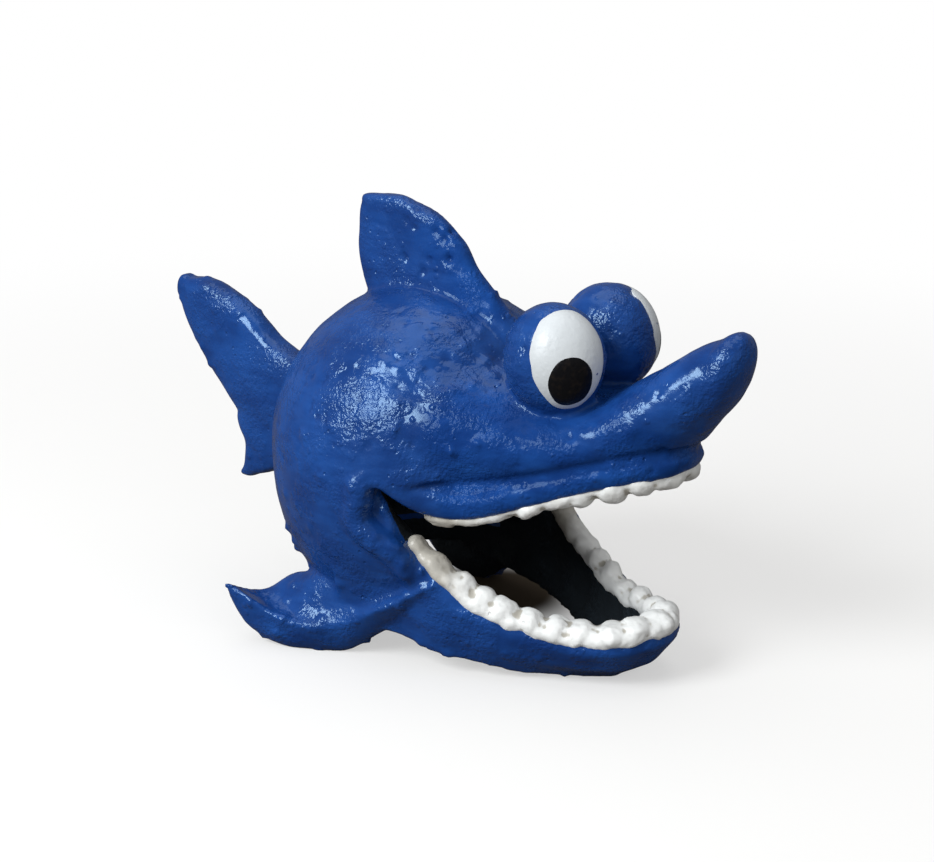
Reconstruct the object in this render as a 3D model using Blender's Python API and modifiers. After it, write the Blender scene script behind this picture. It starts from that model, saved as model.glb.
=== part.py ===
"""Hollow cast shark for an aquarium: goggle eyes, wide toothed mouth, open underside.

The nose points along -Y, the casting stands on Z = 0 and X = 0 is its plane of symmetry.
Lengths are in metres. Each form is turned, lofted or drawn out, and runs well into its
neighbours. One voxel remesh fuses them into a single casting, and smoothing softens every
join as the mould and the thick paint do. The underside is then trimmed flat.

A form's stations are written as shares of the driving sizes named above them, so that a
form keeps its seat on the belly when the belly changes.
"""

import math

import bmesh
import bpy
from mathutils import Matrix, Vector

# Belly: a ball, fuller below its middle, with a hollow that is open underneath
BELLY_RADIUS = 0.0450
BELLY_MIDDLE = 0.0535
BELLY_RISE = 0.0460
BELLY_DROP = 0.0495
BELLY_FULLNESS = 2.3
WALL = 0.0080
OPENING_RADIUS = 0.0280

# Mouth: its corner is level with the belly's middle, and the cheek leans forward below it
CORNER_REACH = 0.0110
CHEEK_LEAN = math.radians(24)
GUM_SLOPE = math.radians(10)
CHEEK_RIM_RADIUS = 0.0037
# Top and foot of the rim as shares of the corner's height, and its depth in the wall in radii
CHEEK_RIM_TOP = 1.05
CHEEK_RIM_FOOT = 0.44
CHEEK_RIM_SEAT = 0.65

# Snout: reach from the belly's axis, rise above its middle, half depth at the root
SNOUT_REACH = 0.0940
SNOUT_RISE = 0.0350
SNOUT_HALF_DEPTH = 0.0300
# Stations as shares (reach, rise, half width in belly radii, half depth)
SNOUT_STATIONS = [
    (0.00, 0.36, 0.91, 1.00),
    (0.23, 0.36, 0.82, 0.80),
    (0.45, 0.34, 0.67, 0.55),
    (0.64, 0.37, 0.52, 0.42),
    (0.79, 0.57, 0.39, 0.45),
    (0.915, 0.80, 0.29, 0.45),
    (1.00, 1.00, 0.21, 0.35),
]

# Upper lip: reach from the belly's axis, and how far the smile bends from its corner's level
LIP_REACH = 0.0865
SMILE_BEND = 0.0085
# Edge from the front to the corner as shares (belly radii, reach, bend)
LIP_EDGE = [
    (0.000, 1.000, 1.00),
    (0.155, 0.977, 0.94),
    (0.290, 0.913, 0.83),
    (0.400, 0.810, 0.53),
    (0.500, 0.695, 0.12),
    (0.600, 0.555, -0.41),
    (0.700, 0.415, -0.88),
    (0.790, 0.305, -0.82),
    (0.880, 0.225, -0.41),
    (0.922, 0.150, 0.06),
    (0.890, 0.035, 0.77),
]
LIP_HEIGHT = 0.0190
LIP_THICKNESS = 0.0080
PALATE_DEPTH = 0.0070
# Section from the edge up, with its two rolls, as shares (height, thickness outward)
LIP_SECTION = [
    (0.00, -0.19),
    (0.08, 0.00),
    (0.26, 0.05),
    (0.40, -0.17),
    (0.47, -0.08),
    (0.58, -0.17),
    (0.79, -0.62),
    (1.00, -1.38),
]
# The palate's section, as shares (palate's depth, lip's thickness outward)
PALATE_SECTION = [(-1.0, -1.0), (0.0, -1.0), (1.0, -1.6)]

# Lower jaw: reach of the chin, height of its top, clearance under its arms, boat-like undercut
JAW_REACH = 0.0772
CHIN_HEIGHT = 0.0173
ARM_CLEARANCE = 0.0100
CHIN_UNDERCUT = 0.0158
JAW_WALL = 0.0085
# Middle of the wall from the chin back, as shares: radii of the belly wall's middle, reach,
# top from the chin's height up to the mouth corner's, clearance, undercut. The chin's foot
# reaches below the floor, where it is trimmed flat.
JAW_STATIONS = [
    (0.000, 1.000, 0.00, -0.08, 1.00),
    (0.195, 0.968, -0.01, -0.08, 1.00),
    (0.280, 0.923, -0.025, -0.08, 0.93),
    (0.335, 0.868, -0.04, -0.05, 0.84),
    (0.410, 0.769, -0.044, 0.02, 0.66),
    (0.485, 0.679, -0.008, 0.10, 0.48),
    (0.565, 0.590, 0.05, 0.22, 0.36),
    (0.628, 0.513, 0.12, 0.36, 0.29),
    (0.680, 0.430, 0.22, 0.47, 0.24),
    (0.735, 0.345, 0.36, 0.55, 0.21),
    (0.756, 0.256, 0.50, 0.70, 0.21),
    (0.793, 0.167, 0.71, 0.85, 0.27),
    (0.902, 0.064, 0.93, 1.00, 0.43),
    (0.951, -0.038, 1.035, 1.00, 0.48),
]
# Section of the wall, round from its outer foot, as shares: half walls, undercut, height
JAW_SECTION = [
    (1.00, -1.00, 0.00),
    (1.00, -0.35, 0.35),
    (1.00, 0.00, 0.75),
    (0.75, 0.00, 1.00),
    (-0.75, 0.00, 1.00),
    (-1.00, 0.00, 0.75),
    (-1.00, -0.25, 0.35),
    (-1.00, -1.00, 0.00),
]

# Throat: the way from the hollow to the mouth, along the floor between the arms of the jaw
THROAT_HEIGHT = 0.0300
THROAT_HALF_WIDTH = 0.0255

# Teeth: sizes along, across and up, the share of each jaw that carries them, and how far
# their middles stand proud of the jaw as a share of their height
LOWER_TOOTH_COUNT = 19
LOWER_TOOTH_SIZE = (0.0098, 0.0092, 0.0078)
LOWER_ROW_SHARE = 0.79
LOWER_TOOTH_STAND = 0.04
UPPER_TOOTH_COUNT = 18
UPPER_TOOTH_SIZE = (0.0104, 0.0070, 0.0056)
UPPER_ROW_SHARE = 0.70
UPPER_TOOTH_STAND = 0.08

# Eyes: two upright eggs side by side, sunk into the top of the snout
EYE_HALF_WIDTH = 0.0124
EYE_HALF_LENGTH = 0.0140
EYE_HALF_HEIGHT = 0.0150
EYE_SINK = 0.0055
# Share of the way along the snout's stations
EYE_SHARE = 0.41

# Back fin: length, rise above the belly, thickness
BACK_FIN_LENGTH = 0.0600
BACK_FIN_RISE = 0.0237
BACK_FIN_THICKNESS = 0.0105
# Outline as shares (length from the belly's axis back, rise)
BACK_FIN_OUTLINE = [
    (-0.600, -0.61),
    (-0.417, -0.085),
    (-0.293, 0.22),
    (-0.208, 0.54),
    (-0.067, 0.82),
    (0.167, 1.00),
    (0.375, 0.93),
    (0.403, 0.275),
    (0.333, -0.21),
    (0.200, -0.74),
    (-0.250, -1.16),
]

# Tail: length behind the belly, rise of its top above the belly's middle, thickness
TAIL_LENGTH = 0.0505
TAIL_RISE = 0.0350
TAIL_THICKNESS = 0.0125
# Outline as shares (length, rise)
TAIL_OUTLINE = [
    (-0.30, 0.50),
    (0.04, 0.47),
    (0.24, 0.586),
    (0.455, 0.843),
    (0.733, 1.00),
    (0.94, 1.00),
    (1.00, 0.829),
    (0.851, 0.391),
    (0.574, -0.09),
    (0.489, -0.386),
    (0.545, -0.671),
    (0.347, -0.62),
    (0.10, -0.414),
    (-0.30, -0.329),
]

# Both upright fins: share of the thickness that their round edge takes, and of it at the tip
FIN_EDGE_SHARE = 0.8
FIN_TIP_SHARE = 0.5

# Side fins: five lines from the mouth corner to the tip. They are the shoulder, the dish, the
# rim, the foot and the root, as shares (belly radii, length, height of the belly's middle)
SIDE_FIN_LENGTH = 0.0355
SIDE_FIN_LINES = [
    [
        (0.62, -0.76, 0.64),
        (0.71, -0.34, 0.60),
        (0.78, 0.06, 0.58),
        (0.755, 0.39, 0.52),
        (0.70, 0.68, 0.42),
        (0.86, 0.87, 0.27),
        (1.08, 0.985, 0.336),
    ],
    [
        (0.67, -0.79, 0.56),
        (0.78, -0.34, 0.37),
        (0.845, 0.085, 0.24),
        (0.91, 0.39, 0.19),
        (0.91, 0.62, 0.20),
        (0.955, 0.82, 0.235),
        (1.10, 0.985, 0.336),
    ],
    [
        (0.70, -0.80, 0.52),
        (0.81, -0.37, 0.35),
        (0.87, 0.03, 0.19),
        (0.98, 0.28, 0.17),
        (1.045, 0.56, 0.215),
        (1.10, 0.76, 0.29),
        (1.12, 0.985, 0.345),
    ],
    [
        (0.67, -0.76, 0.41),
        (0.73, -0.31, 0.17),
        (0.80, 0.06, -0.055),
        (0.89, 0.31, -0.075),
        (0.99, 0.56, -0.09),
        (1.06, 0.87, 0.02),
        (1.115, 1.00, 0.31),
    ],
    [
        (0.58, -0.70, 0.45),
        (0.555, -0.25, 0.19),
        (0.535, 0.17, 0.075),
        (0.535, 0.45, 0.055),
        (0.58, 0.70, 0.15),
        (0.80, 0.90, 0.19),
        (1.09, 1.00, 0.315),
    ],
]

# Surface: voxel size of the fused casting, smoothing, and the share of its triangles kept
VOXEL = 0.0013
SMOOTHING_PASSES = 4
KEPT_SHARE = 0.095

# How far the cutters run below the floor, and half their reach along it
BELOW_FLOOR = -BELLY_RADIUS / 2
CUTTER_REACH = 2 * (SNOUT_REACH + BELLY_RADIUS)

# Welds the loose caps of a curve that was made a mesh
WELD = 0.00001

GLOSS_BLUE = (0.012, 0.085, 0.33, 1.0)
PAINT_ROUGHNESS = 0.3


def new_object(name, data, collection):
    made = bpy.data.objects.new(name, data)
    collection.objects.link(made)
    return made


def face_outward(mesh, weld=0.0):
    shape = bmesh.new()
    shape.from_mesh(mesh)
    if weld:
        bmesh.ops.remove_doubles(shape, verts=shape.verts, dist=weld)
    bmesh.ops.recalc_face_normals(shape, faces=shape.faces)
    shape.to_mesh(mesh)
    shape.free()


def loft(name, rings, collection):
    """A closed skin over rings of as many points each, with a fan over both ends."""
    count = len(rings[0])
    points = [tuple(point) for ring in rings for point in ring]
    faces = []
    for row in range(len(rings) - 1):
        for k in range(count):
            a = row * count + k
            b = row * count + (k + 1) % count
            faces.append((a, b, b + count, a + count))
    for row, ring in ((0, rings[0]), (len(rings) - 1, rings[-1])):
        hub = len(points)
        points.append(tuple(sum(ring, Vector()) / count))
        for k in range(count):
            faces.append((row * count + k, row * count + (k + 1) % count, hub))
    mesh = bpy.data.meshes.new(name)
    mesh.from_pydata(points, [], faces)
    face_outward(mesh)
    return new_object(name, mesh, collection)


def turned(name, profile, collection):
    """A profile of (radius, height) that runs down its outer side, turned about Z."""
    mesh = bpy.data.meshes.new(name)
    points = [(radius, 0.0, height) for radius, height in profile]
    mesh.from_pydata(points, [(k, k + 1) for k in range(len(points) - 1)], [])
    made = new_object(name, mesh, collection)
    turn = made.modifiers.new("turn", "SCREW")
    turn.steps = turn.render_steps = 64
    turn.use_merge_vertices = True
    turn.merge_threshold = WELD
    return made


def box(name, low, high, collection):
    """A block between two opposite corners."""
    size = Vector(high) - Vector(low)
    place = Matrix.Translation(Vector(low) + size / 2) @ Matrix.Diagonal((*size, 1.0))
    shape = bmesh.new()
    bmesh.ops.create_cube(shape, size=1.0, matrix=place)
    mesh = bpy.data.meshes.new(name)
    shape.to_mesh(mesh)
    shape.free()
    return new_object(name, mesh, collection)


def ball(name, place, radii, collection):
    """An egg with these half sizes, put at a place given as a matrix."""
    segments = 24
    shape = bmesh.new()
    bmesh.ops.create_uvsphere(
        shape,
        u_segments=segments,
        v_segments=segments // 2,
        radius=1.0,
        matrix=place @ Matrix.Diagonal((*radii, 1.0)),
    )
    mesh = bpy.data.meshes.new(name)
    shape.to_mesh(mesh)
    shape.free()
    return new_object(name, mesh, collection)


def upright_outline(name, spline_type, outline):
    """A closed flat curve, whose own X stands for Y here and whose own Y stands for height."""
    curve = bpy.data.curves.new(name, "CURVE")
    curve.dimensions = "2D"
    curve.fill_mode = "BOTH"
    spline = curve.splines.new(spline_type)
    spline.use_cyclic_u = True
    if spline_type == "POLY":
        spline.points.add(len(outline) - 1)
        for knot, (y, height) in zip(spline.points, outline):
            knot.co = (y, height, 0, 1)
    else:
        spline.bezier_points.add(len(outline) - 1)
        for knot, (y, height) in zip(spline.bezier_points, outline):
            knot.co = (y, height, 0)
            knot.handle_left_type = knot.handle_right_type = "AUTO"
    return curve


def upright_mesh(curve, collection):
    """The mesh of an upright outline, stood up in the plane of symmetry."""
    flat = new_object(curve.name, curve, collection)
    graph = bpy.context.evaluated_depsgraph_get()
    mesh = bpy.data.meshes.new_from_object(flat.evaluated_get(graph))
    bpy.data.objects.remove(flat)
    mesh.transform(Matrix(((0, 0, 1, 0), (1, 0, 0, 0), (0, 1, 0, 0), (0, 0, 0, 1))))
    face_outward(mesh, weld=WELD)
    return mesh


def cut(body, cutter):
    modifier = body.modifiers.new(cutter.name, "BOOLEAN")
    modifier.operation = "DIFFERENCE"
    modifier.object = cutter


def between(stations, share):
    """A smooth Catmull-Rom reading of a list of stations at a share from 0 to 1."""
    at = share * (len(stations) - 1)
    i = min(int(at), len(stations) - 2)
    t = at - i
    before = stations[max(i - 1, 0)]
    after = stations[min(i + 2, len(stations) - 1)]
    read = []
    for a, b, c, d in zip(before, stations[i], stations[i + 1], after):
        bend = 2 * a - 5 * b + 4 * c - d + t * (3 * (b - c) + d - a)
        read.append(b + t * (c - a + t * bend) / 2)
    return read


def both_sides(left_half):
    """Stations from the right side round to the left, from those of the left side."""
    return [(-s[0], *s[1:]) for s in reversed(left_half[1:])] + list(left_half)


def plan_normal(stations, share):
    """Unit normal of a path seen from above, pointing away from the mouth."""
    step = 0.002
    a = between(stations, max(share - step, 0.0))
    b = between(stations, min(share + step, 1.0))
    return Vector((b[1] - a[1], a[0] - b[0], 0)).normalized()


def belly_radius(height, inset=0.0):
    """Radius of the belly at a height, or of the ball that lies inset within it."""
    radius = BELLY_RADIUS - inset
    if height >= BELLY_MIDDLE:
        share = min((height - BELLY_MIDDLE) / (BELLY_RISE - inset), 1.0)
        return radius * math.sqrt(1 - share**2)
    share = min((BELLY_MIDDLE - height) / (BELLY_DROP - inset), 1.0)
    return radius * (1 - share**BELLY_FULLNESS) ** (1 / BELLY_FULLNESS)


def belly_profile(inset=0.0):
    """Points (radius, height) down the belly's side, closest together near its two poles."""
    steps = 32
    profile = []
    for step in range(steps + 1):
        turn = math.pi / 2 - math.pi * step / steps
        reach = (BELLY_RISE if turn > 0 else BELLY_DROP) - inset
        height = BELLY_MIDDLE + reach * math.sin(turn)
        profile.append((belly_radius(height, inset), height))
    return profile


def hollow(cutters):
    """The space inside the wall, carried straight down through the opening underneath."""
    profile = []
    for radius, height in belly_profile(WALL):
        if height > BELLY_MIDDLE or radius > OPENING_RADIUS:
            profile.append((radius, height))
    profile += [(OPENING_RADIUS, profile[-1][1]), (OPENING_RADIUS, BELOW_FLOOR)]
    profile.append((0.0, BELOW_FLOOR))
    return turned("hollow", profile, cutters)


def mouth_opening(cutters):
    """The space before the cheeks, from under the upper jaw down to the floor."""
    foot_reach = CORNER_REACH + (BELLY_MIDDLE - BELOW_FLOOR) * math.tan(CHEEK_LEAN)
    side = [
        (-CORNER_REACH, BELLY_MIDDLE),
        (-CUTTER_REACH, BELLY_MIDDLE + (CUTTER_REACH - CORNER_REACH) * math.tan(GUM_SLOPE)),
        (-CUTTER_REACH, BELOW_FLOOR),
        (-foot_reach, BELOW_FLOOR),
    ]
    outline = upright_outline("mouth_opening", "POLY", side)
    outline.extrude = 2 * BELLY_RADIUS
    return new_object("mouth_opening", upright_mesh(outline, cutters), cutters)


def throat(cutters):
    low = (-THROAT_HALF_WIDTH, -JAW_REACH, BELOW_FLOOR)
    high = (THROAT_HALF_WIDTH, 0.0, THROAT_HEIGHT)
    return box("throat", low, high, cutters)


def belly(forms, cutters):
    ball_shell = turned("belly", belly_profile(), forms)
    cut(ball_shell, mouth_opening(cutters))
    cut(ball_shell, throat(cutters))
    return ball_shell


def cheek_rim(name, side, forms):
    """The rolled rim of a cheek: a round bar just inside the edge of the mouth opening."""
    knots = 5
    curve = bpy.data.curves.new(name, "CURVE")
    curve.dimensions = "3D"
    curve.bevel_depth = CHEEK_RIM_RADIUS
    curve.bevel_resolution = 3
    curve.use_fill_caps = True
    spline = curve.splines.new("BEZIER")
    spline.bezier_points.add(knots - 1)
    seat = CHEEK_RIM_SEAT * CHEEK_RIM_RADIUS
    for k, knot in enumerate(spline.bezier_points):
        share = CHEEK_RIM_TOP + (CHEEK_RIM_FOOT - CHEEK_RIM_TOP) * k / (knots - 1)
        height = BELLY_MIDDLE * share
        y = seat - CORNER_REACH - (BELLY_MIDDLE - height) * math.tan(CHEEK_LEAN)
        x = math.sqrt(belly_radius(height) ** 2 - y**2) - seat
        knot.co = (side * x, y, height)
        knot.handle_left_type = knot.handle_right_type = "AUTO"
    return new_object(name, curve, forms)


def snout_at(share):
    """Place of the snout's middle and its half sizes: y, height, half width, half depth."""
    reach, rise, wide, deep = between(SNOUT_STATIONS, share)
    return (
        -reach * SNOUT_REACH,
        BELLY_MIDDLE + rise * SNOUT_RISE,
        wide * BELLY_RADIUS,
        deep * SNOUT_HALF_DEPTH,
    )


def snout_ring(y, height, wide, deep):
    """An ellipse across the snout, square to Y."""
    count = 32
    ring = []
    for k in range(count):
        turn = 2 * math.pi * k / count
        ring.append(Vector((wide * math.cos(turn), y, height + deep * math.sin(turn))))
    return ring


def snout(forms):
    """The muzzle and nose: ellipses along a rising line, rounded off at the tip."""
    steps = 20
    tip_steps = 8
    rings = [snout_ring(*snout_at(step / steps)) for step in range(steps + 1)]
    y, height, wide, deep = snout_at(1.0)
    before = snout_at(1 - 1 / (len(SNOUT_STATIONS) - 1))
    along = Vector((0, y - before[0], height - before[1])).normalized()
    for step in range(1, tip_steps + 1):
        turn = math.pi / 2 * step / (tip_steps + 1)
        out = along * deep * math.sin(turn)
        shrink = math.cos(turn)
        rings.append(snout_ring(y + out.y, height + out.z, wide * shrink, deep * shrink))
    return loft("snout", rings, forms)


def lip_stations():
    edge = []
    for radii, reach, bend in LIP_EDGE:
        height = BELLY_MIDDLE + bend * SMILE_BEND
        edge.append((radii * BELLY_RADIUS, -reach * LIP_REACH, height))
    return both_sides(edge)


def lip_point(share, outset, height):
    """A point above the lip's edge, at a share of the way from right to left corner."""
    stations = lip_stations()
    point = Vector(between(stations, share)) + outset * plan_normal(stations, share)
    point.z += height
    return point


def lip_rings(section, height):
    """Level rings over the mouth, one for each pair in a section."""
    count = 56
    rings = []
    for rise, outset in section:
        out = outset * LIP_THICKNESS
        rings.append([lip_point(k / count, out, rise * height) for k in range(count + 1)])
    return rings


def upper_jaw(forms, cutters):
    """The lip with its two rolls, and a shallow palate inside it."""
    jaw = loft("upper_jaw", lip_rings(LIP_SECTION, LIP_HEIGHT), forms)
    cut(jaw, loft("palate", lip_rings(PALATE_SECTION, PALATE_DEPTH), cutters))
    return jaw


def jaw_stations():
    stations = []
    for radii, reach, climb, clearance, undercut in JAW_STATIONS:
        station = (
            radii * (BELLY_RADIUS - WALL / 2),
            -reach * JAW_REACH,
            CHIN_HEIGHT + climb * (BELLY_MIDDLE - CHIN_HEIGHT),
            clearance * ARM_CLEARANCE,
            undercut * CHIN_UNDERCUT,
        )
        stations.append(station)
    return both_sides(stations)


def lower_jaw(forms):
    """A wall swept round the U, leaning out from its foot like a boat's side."""
    stations = jaw_stations()
    steps = 64
    rings = []
    for step in range(steps + 1):
        x, y, top, foot, undercut = between(stations, step / steps)
        outward = plan_normal(stations, step / steps)
        ring = []
        for walls, lean, rise in JAW_SECTION:
            outset = walls * JAW_WALL / 2 + lean * undercut
            ring.append(Vector((x, y, foot + rise * (top - foot))) + outset * outward)
        rings.append(ring)
    return loft("lower_jaw", rings, forms)


def even_shares(point_at, count, row_share):
    """Shares that space points evenly along the middle part of a path."""
    samples = 400
    first = (1 - row_share) / 2
    shares = [first + row_share * k / samples for k in range(samples + 1)]
    points = [point_at(share) for share in shares]
    run = [0.0]
    for a, b in zip(points, points[1:]):
        run.append(run[-1] + (b - a).length)
    spaced = []
    k = 0
    for wanted in range(count):
        goal = run[-1] * (wanted + 1 / 2) / count
        while run[k + 1] < goal:
            k += 1
        spaced.append(shares[k])
    return spaced


def tooth_row(name, edge, row_share, count, size, forms):
    """Rounded lumps along an edge, each with its width along the jaw."""
    step = 0.004
    radii = [side / 2 for side in size]
    made = []
    for k, share in enumerate(even_shares(edge, count, row_share)):
        along = (edge(share + step) - edge(share - step)).normalized()
        across = Vector((0, 0, 1)).cross(along).normalized()
        turn = Matrix((along, across, along.cross(across))).transposed().to_4x4()
        place = Matrix.Translation(edge(share)) @ turn
        made.append(ball(f"{name}_{k + 1:02d}", place, radii, forms))
    return made


def lower_teeth(forms):
    stations = jaw_stations()
    stand = LOWER_TOOTH_STAND * LOWER_TOOTH_SIZE[2]

    def edge(share):
        x, y, top, _, _ = between(stations, share)
        return Vector((x, y, top + stand))

    return tooth_row(
        "lower_tooth", edge, LOWER_ROW_SHARE, LOWER_TOOTH_COUNT, LOWER_TOOTH_SIZE, forms
    )


def upper_teeth(forms):
    stand = UPPER_TOOTH_STAND * UPPER_TOOTH_SIZE[2]

    def edge(share):
        return lip_point(share, -LIP_THICKNESS / 2, -stand)

    return tooth_row(
        "upper_tooth", edge, UPPER_ROW_SHARE, UPPER_TOOTH_COUNT, UPPER_TOOTH_SIZE, forms
    )


def eyes(forms):
    """Two eggs that touch each other, seated in the top of the snout."""
    y, height, _, deep = snout_at(EYE_SHARE)
    height += deep - EYE_SINK + EYE_HALF_HEIGHT
    radii = (EYE_HALF_WIDTH, EYE_HALF_LENGTH, EYE_HALF_HEIGHT)
    made = []
    for side, name in ((-1, "eye_right"), (1, "eye_left")):
        place = Matrix.Translation((side * EYE_HALF_WIDTH, y, height))
        made.append(ball(name, place, radii, forms))
    return made


def plate_fin(name, outline, thickness, tip_axis, forms):
    """A flat outline in the plane of symmetry, thick at its root and thin at its tip."""
    curve = upright_outline(name + "_outline", "BEZIER", outline)
    curve.bevel_depth = FIN_EDGE_SHARE * thickness / 2
    curve.offset = -curve.bevel_depth
    curve.extrude = (1 - FIN_EDGE_SHARE) * thickness / 2
    curve.bevel_resolution = 3
    curve.resolution_u = 6
    mesh = upright_mesh(curve, forms)
    low = min(vertex.co[tip_axis] for vertex in mesh.vertices)
    high = max(vertex.co[tip_axis] for vertex in mesh.vertices)
    for vertex in mesh.vertices:
        share = (vertex.co[tip_axis] - low) / (high - low)
        vertex.co.x *= 1 - (1 - FIN_TIP_SHARE) * share
    return new_object(name, mesh, forms)


def back_fin(forms):
    top = BELLY_MIDDLE + BELLY_RISE
    outline = [(a * BACK_FIN_LENGTH, top + b * BACK_FIN_RISE) for a, b in BACK_FIN_OUTLINE]
    return plate_fin("back_fin", outline, BACK_FIN_THICKNESS, 2, forms)


def tail(forms):
    outline = [
        (BELLY_RADIUS + a * TAIL_LENGTH, BELLY_MIDDLE + b * TAIL_RISE) for a, b in TAIL_OUTLINE
    ]
    return plate_fin("tail", outline, TAIL_THICKNESS, 1, forms)


def side_fin(name, side, forms):
    """A dished paddle, lofted over its five lines and rounded by subdivision."""
    steps = 12
    rings = []
    for step in range(steps + 1):
        ring = []
        for line in SIDE_FIN_LINES:
            radii, length, height = between(line, step / steps)
            x = side * radii * BELLY_RADIUS
            ring.append(Vector((x, length * SIDE_FIN_LENGTH, height * BELLY_MIDDLE)))
        rings.append(ring)
    fin = loft(name, rings, forms)
    rounding = fin.modifiers.new("round", "SUBSURF")
    rounding.levels = rounding.render_levels = 2
    return fin


def floor_block(cutters):
    """Everything under the plane that the casting stands on."""
    low = (-CUTTER_REACH, -CUTTER_REACH, BELOW_FLOOR)
    return box("floor_block", low, (CUTTER_REACH, CUTTER_REACH, 0.0), cutters)


def all_forms(helpers):
    """Every form of the casting. The hollow passes through those that reach into it."""
    pierced = [
        belly(helpers, helpers),
        snout(helpers),
        upper_jaw(helpers, helpers),
        back_fin(helpers),
        tail(helpers),
        side_fin("fin_right", -1, helpers),
        side_fin("fin_left", 1, helpers),
    ]
    inside = hollow(helpers)
    for form in pierced:
        cut(form, inside)
    return [
        *pierced,
        lower_jaw(helpers),
        cheek_rim("cheek_rim_right", -1, helpers),
        cheek_rim("cheek_rim_left", 1, helpers),
        *lower_teeth(helpers),
        *upper_teeth(helpers),
        *eyes(helpers),
    ]


def joined_mesh(name, forms):
    """One mesh of all the forms as they are cut and rounded, each still a closed body."""
    graph = bpy.context.evaluated_depsgraph_get()
    joined = bmesh.new()
    for form in forms:
        mesh = bpy.data.meshes.new_from_object(form.evaluated_get(graph))
        joined.from_mesh(mesh)
        bpy.data.meshes.remove(mesh)
    bmesh.ops.remove_doubles(joined, verts=joined.verts, dist=WELD)
    mesh = bpy.data.meshes.new(name)
    joined.to_mesh(mesh)
    joined.free()
    return mesh


def fused(name, forms, floor, casting):
    """All the forms as one casting: fused by a voxel remesh, softened, thinned and trimmed."""
    body = new_object(name, joined_mesh(name, forms), casting)
    fuse = body.modifiers.new("fuse", "REMESH")
    fuse.mode = "VOXEL"
    fuse.voxel_size = VOXEL
    fuse.use_smooth_shade = True
    soften = body.modifiers.new("soften", "SMOOTH")
    soften.iterations = SMOOTHING_PASSES
    thin_out = body.modifiers.new("thin_out", "DECIMATE")
    thin_out.ratio = KEPT_SHARE
    thin_out.use_collapse_triangulate = True
    cut(body, floor)
    return body


def centre(body):
    """Slides the casting along Y until the middle of its length is over the origin."""
    graph = bpy.context.evaluated_depsgraph_get()
    mesh = bpy.data.meshes.new_from_object(body.evaluated_get(graph))
    lengths = [vertex.co.y for vertex in mesh.vertices]
    body.location.y = -(min(lengths) + max(lengths)) / 2
    bpy.data.meshes.remove(mesh)


def paint(body):
    coat = bpy.data.materials.new("gloss_blue")
    coat.use_nodes = True
    shader = coat.node_tree.nodes["Principled BSDF"]
    shader.inputs["Base Color"].default_value = GLOSS_BLUE
    shader.inputs["Roughness"].default_value = PAINT_ROUGHNESS
    body.data.materials.append(coat)


def main():
    for old in list(bpy.data.objects):
        bpy.data.objects.remove(old)
    casting = bpy.data.collections.new("shark_ornament")
    helpers = bpy.data.collections.new("forms_and_cutters")
    bpy.context.scene.collection.children.link(casting)
    bpy.context.scene.collection.children.link(helpers)
    body = fused("shark_casting", all_forms(helpers), floor_block(helpers), casting)
    centre(body)
    paint(body)
    for helper in helpers.objects:
        helper.hide_render = True
        helper.display_type = "WIRE"


if __name__ == "__main__":
    main()
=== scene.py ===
"""Looks of a hollow cast shark for an aquarium: glossy blue enamel, white teeth and eyes.

Every form is a surface worked out with numpy, in metres, round the belly's upright axis, and
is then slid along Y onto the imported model. The blue forms are fused by a voxel remesh, so
that the paint seems to run over every join, and numpy then adds lumps, folds, warts and pits.
"""

import math

import bmesh
import bpy
import numpy as np
from bpy.props import FloatProperty, FloatVectorProperty, IntProperty, PointerProperty
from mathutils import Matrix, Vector


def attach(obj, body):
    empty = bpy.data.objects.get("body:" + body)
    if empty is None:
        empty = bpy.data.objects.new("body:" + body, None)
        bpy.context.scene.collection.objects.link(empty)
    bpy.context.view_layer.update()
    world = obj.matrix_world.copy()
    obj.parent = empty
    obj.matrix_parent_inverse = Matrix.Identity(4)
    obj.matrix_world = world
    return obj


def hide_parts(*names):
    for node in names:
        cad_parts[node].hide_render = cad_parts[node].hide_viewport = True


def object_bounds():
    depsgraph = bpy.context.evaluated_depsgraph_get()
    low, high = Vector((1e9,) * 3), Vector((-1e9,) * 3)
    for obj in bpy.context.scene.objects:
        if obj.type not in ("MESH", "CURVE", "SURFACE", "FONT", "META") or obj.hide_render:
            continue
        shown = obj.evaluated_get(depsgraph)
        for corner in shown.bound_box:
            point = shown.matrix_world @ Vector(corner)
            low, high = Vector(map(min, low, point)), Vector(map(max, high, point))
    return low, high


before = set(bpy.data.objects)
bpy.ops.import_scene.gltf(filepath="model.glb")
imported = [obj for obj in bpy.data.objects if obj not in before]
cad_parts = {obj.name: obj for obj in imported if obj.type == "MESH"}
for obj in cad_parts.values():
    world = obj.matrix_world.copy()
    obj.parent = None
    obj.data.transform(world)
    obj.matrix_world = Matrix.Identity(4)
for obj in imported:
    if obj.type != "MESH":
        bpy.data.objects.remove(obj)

bl_info = {
    "name": "Shark cave ornament",
    "version": (1, 0, 0),
    "blender": (4, 5, 0),
    "location": "View3D > Sidebar > Shark",
    "description": "Builds and paints a hollow cast shark for an aquarium",
    "category": "Add Mesh",
}

CASTING = "shark_casting"
CAD_LOW, CAD_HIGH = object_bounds()
ROUND = 2 * math.pi

# The belly's axis lies this far behind the middle of the model's length
NOSE_REACH = 0.1017
AXIS_Y = CAD_LOW.y + NOSE_REACH

# Belly: height of its middle, rise and drop from there, how full it is below
BELLY_MIDDLE = 0.0535
BELLY_RISE = 0.0460
BELLY_DROP = 0.0495
BELLY_FULLNESS = 2.3
OPENING_RADIUS = 0.0280

# Mouth: its corner is level with the belly's middle, and the cheek leans forward below it
CORNER_REACH = 0.0110
CHEEK_LEAN = math.radians(24)
GUM_SLOPE = math.radians(10)
RIM_RADIUS = 0.0037
RIM_TOP = 1.05
RIM_FOOT = 0.44
RIM_SEAT = 0.65
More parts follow.
